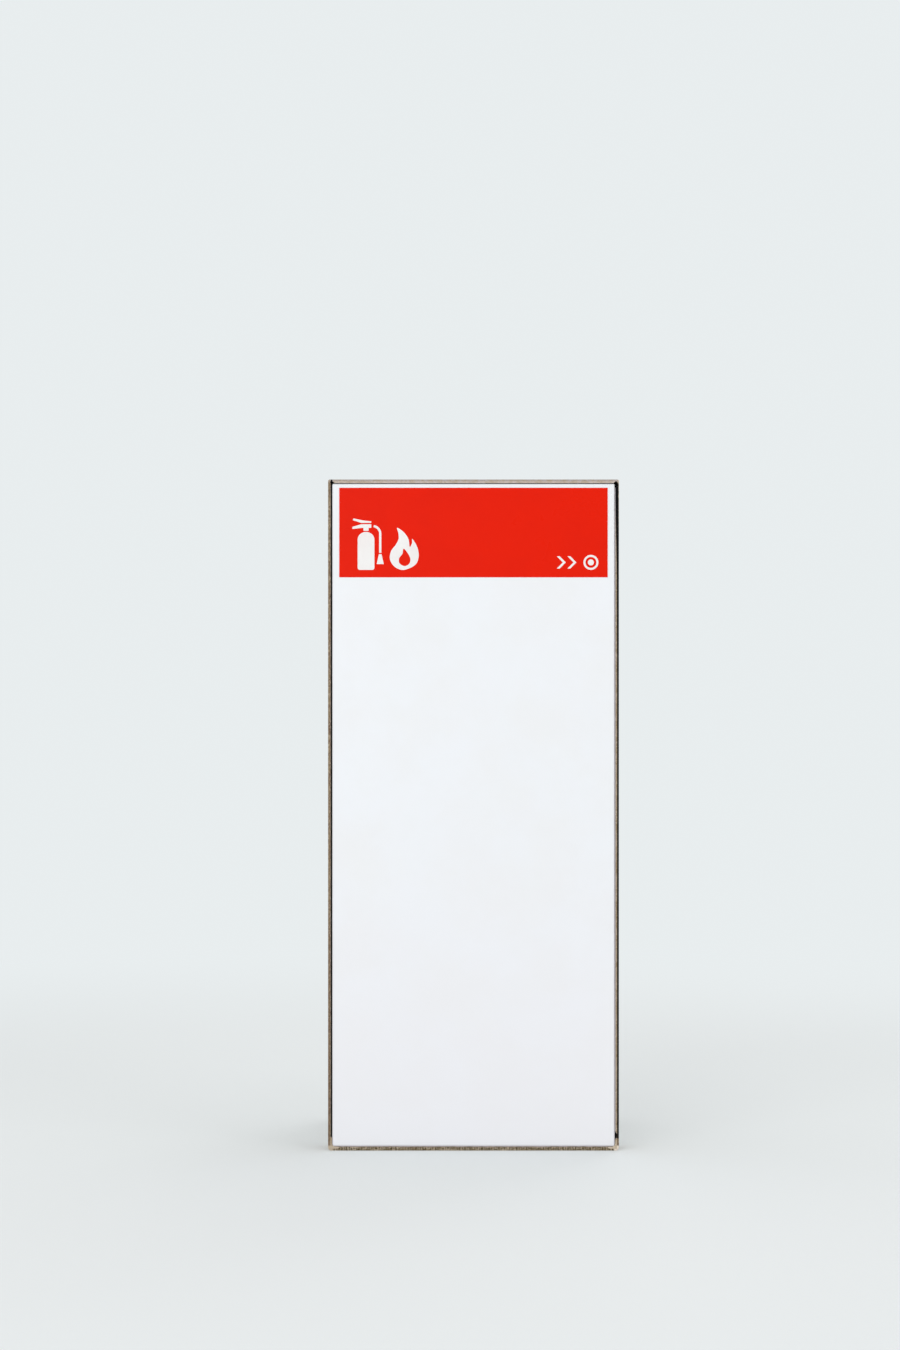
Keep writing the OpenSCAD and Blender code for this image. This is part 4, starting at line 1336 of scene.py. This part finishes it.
class CABINET_OT_stage(bpy.types.Operator):
    """Sets the floor, the soft light and the camera"""
    bl_idname = "cabinet.stage"
    bl_label = "Stage"

    def execute(self, context):
        scene = context.scene
        stage = scene.cabinet_stage
        scene.view_settings.view_transform = "Standard"
        self.lay_floor(stage)
        self.light_all_round(scene, stage)
        lamps = [("key", (-1.3, -2.6, 1.15), 2.2, 60, (1.0, 0.995, 0.99)),
                 ("side", (2.2, -1.9, 0.65), 1.6, 28, (1.0, 0.985, 0.985)),
                 ("overhead", (0.0, 0.2, 2.6), 2.4, 34, (1.0, 1.0, 1.0)),
                 ("rear", (1.0, 2.6, 1.4), 2.0, 34, (1.0, 1.0, 1.0))]
        for name, place, size, watts, colour in lamps:
            self.hang_lamp(name, Vector(place), size, watts * stage.lamps, colour)
        self.set_camera(scene, stage)
        return {"FINISHED"}

    def lay_floor(self, stage):
        """Wide floor that turns into the plain background away from the object."""
        bm = bmesh.new()
        bmesh.ops.create_circle(bm, cap_ends=True, segments=96, radius=30.0)
        floor = link_object("floor", mesh_from(bm, "floor"))
        if floor.data.polygons[0].normal.z < 0:
            floor.data.flip_normals()
        material = bpy.data.materials.new("floor")
        material.use_nodes = True
        tree = material.node_tree
        tree.nodes.clear()
        vector, _ = object_axes(tree)
        away = add_node(tree, "ShaderNodeVectorMath", {0: vector}, operation="LENGTH").outputs["Value"]
        lit_colour = [c * 0.995 for c in stage.floor_colour]
        real = add_node(tree, "ShaderNodeBsdfDiffuse", {"Color": (*lit_colour, 1)})
        plain = add_node(tree, "ShaderNodeEmission", {"Color": (*stage.floor_colour, 1)})
        seen = add_node(tree, "ShaderNodeLightPath").outputs
        looked_at = sum_of(tree, "MAXIMUM", seen["Is Camera Ray"], seen["Is Glossy Ray"])
        factor = sum_of(tree, "MULTIPLY", looked_at, ramp(tree, away, 0.5, 1.6))
        both = add_node(tree, "ShaderNodeMixShader", {0: factor, 1: real.outputs[0],
                                                      2: plain.outputs[0]})
        add_node(tree, "ShaderNodeOutputMaterial", {"Surface": both.outputs[0]})
        floor.data.materials.append(material)

    def light_all_round(self, scene, stage):
        """World that shows the plain background and lights softly from all round."""
        world = bpy.data.worlds.new("studio")
        scene.world = world
        world.use_nodes = True
        tree = world.node_tree
        tree.nodes.clear()
        shown = add_node(tree, "ShaderNodeBackground", {"Color": (*stage.floor_colour, 1)})
        lit = add_node(tree, "ShaderNodeBackground", {"Color": (1, 0.985, 0.975, 1),
                                                      "Strength": stage.fill})
        seen = add_node(tree, "ShaderNodeLightPath").outputs
        looked_at = sum_of(tree, "MAXIMUM", seen["Is Camera Ray"],
                           sum_of(tree, "MAXIMUM", seen["Is Glossy Ray"],
                                  seen["Is Transmission Ray"]))
        both = add_node(tree, "ShaderNodeMixShader", {0: looked_at, 1: lit.outputs[0],
                                                      2: shown.outputs[0]})
        add_node(tree, "ShaderNodeOutputWorld", {"Surface": both.outputs[0]})

    def hang_lamp(self, name, place, size, watts, colour):
        """Square lamp that faces the middle of the cabinet and isn't seen itself."""
        light = bpy.data.lights.new(name, "AREA")
        light.size, light.energy, light.color = size, watts, colour
        lamp = link_object(name, light)
        lamp.location = place
        lamp.rotation_euler = (Vector((0, 0, 0.3)) - place).to_track_quat("-Z", "Y").to_euler()
        lamp.visible_camera = False

    def set_camera(self, scene, stage):
        """Level camera at the photograph's place, a little left of the cabinet's middle."""
        seen_height, sensor = 1.2074, 36.0
        camera = bpy.data.cameras.new("camera")
        camera.sensor_width, camera.lens = sensor, stage.lens
        away = seen_height * stage.lens / sensor
        made = link_object("camera", camera)
        made.location = (-0.021, DOOR_LOW.y - away, 0.4252)
        made.rotation_euler = (math.radians(90), 0, 0)
        scene.camera = made


class CABINET_PT_panel(bpy.types.Panel):
    """Lists the steps that finish the cabinet"""
    bl_idname = "CABINET_PT_panel"
    bl_label = "Cabinet"
    bl_space_type = "VIEW_3D"
    bl_region_type = "UI"
    bl_category = "Cabinet"

    def draw(self, context):
        for step in STEPS:
            self.layout.operator(step.bl_idname)
        for name, _ in SETTINGS:
            group = getattr(context.scene, name)
            box = self.layout.box()
            for key in group.bl_rna.properties.keys():
                if key not in ("rna_type", "name"):
                    box.prop(group, key)


STEPS = (CABINET_OT_stage, CABINET_OT_door_paint, CABINET_OT_box_paint, CABINET_OT_frame_finish,
         CABINET_OT_metal_finish, CABINET_OT_sign, CABINET_OT_gap_filler, CABINET_OT_crumbs,
         CABINET_OT_spot_welds, CABINET_OT_mitre_welds, CABINET_OT_fittings)
SETTINGS = (("cabinet_paint", PaintSettings), ("cabinet_sign", SignSettings),
            ("cabinet_edge", EdgeSettings), ("cabinet_fasteners", FastenerSettings),
            ("cabinet_stage", StageSettings))


def register():
    for name, group in SETTINGS:
        bpy.utils.register_class(group)
        setattr(bpy.types.Scene, name, PointerProperty(type=group))
    for step in (*STEPS, CABINET_PT_panel):
        bpy.utils.register_class(step)


def unregister():
    for step in (CABINET_PT_panel, *reversed(STEPS)):
        bpy.utils.unregister_class(step)
    for name, group in reversed(SETTINGS):
        delattr(bpy.types.Scene, name)
        bpy.utils.unregister_class(group)


def main():
    register()
    bpy.ops.cabinet.stage()
    bpy.ops.cabinet.door_paint()
    bpy.ops.cabinet.box_paint()
    bpy.ops.cabinet.frame_finish()
    bpy.ops.cabinet.metal_finish()
    bpy.ops.cabinet.sign()
    bpy.ops.cabinet.gap_filler()
    bpy.ops.cabinet.crumbs()
    bpy.ops.cabinet.spot_welds()
    bpy.ops.cabinet.mitre_welds()
    bpy.ops.cabinet.fittings()
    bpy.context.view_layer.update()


if __name__ == "__main__":
    main()
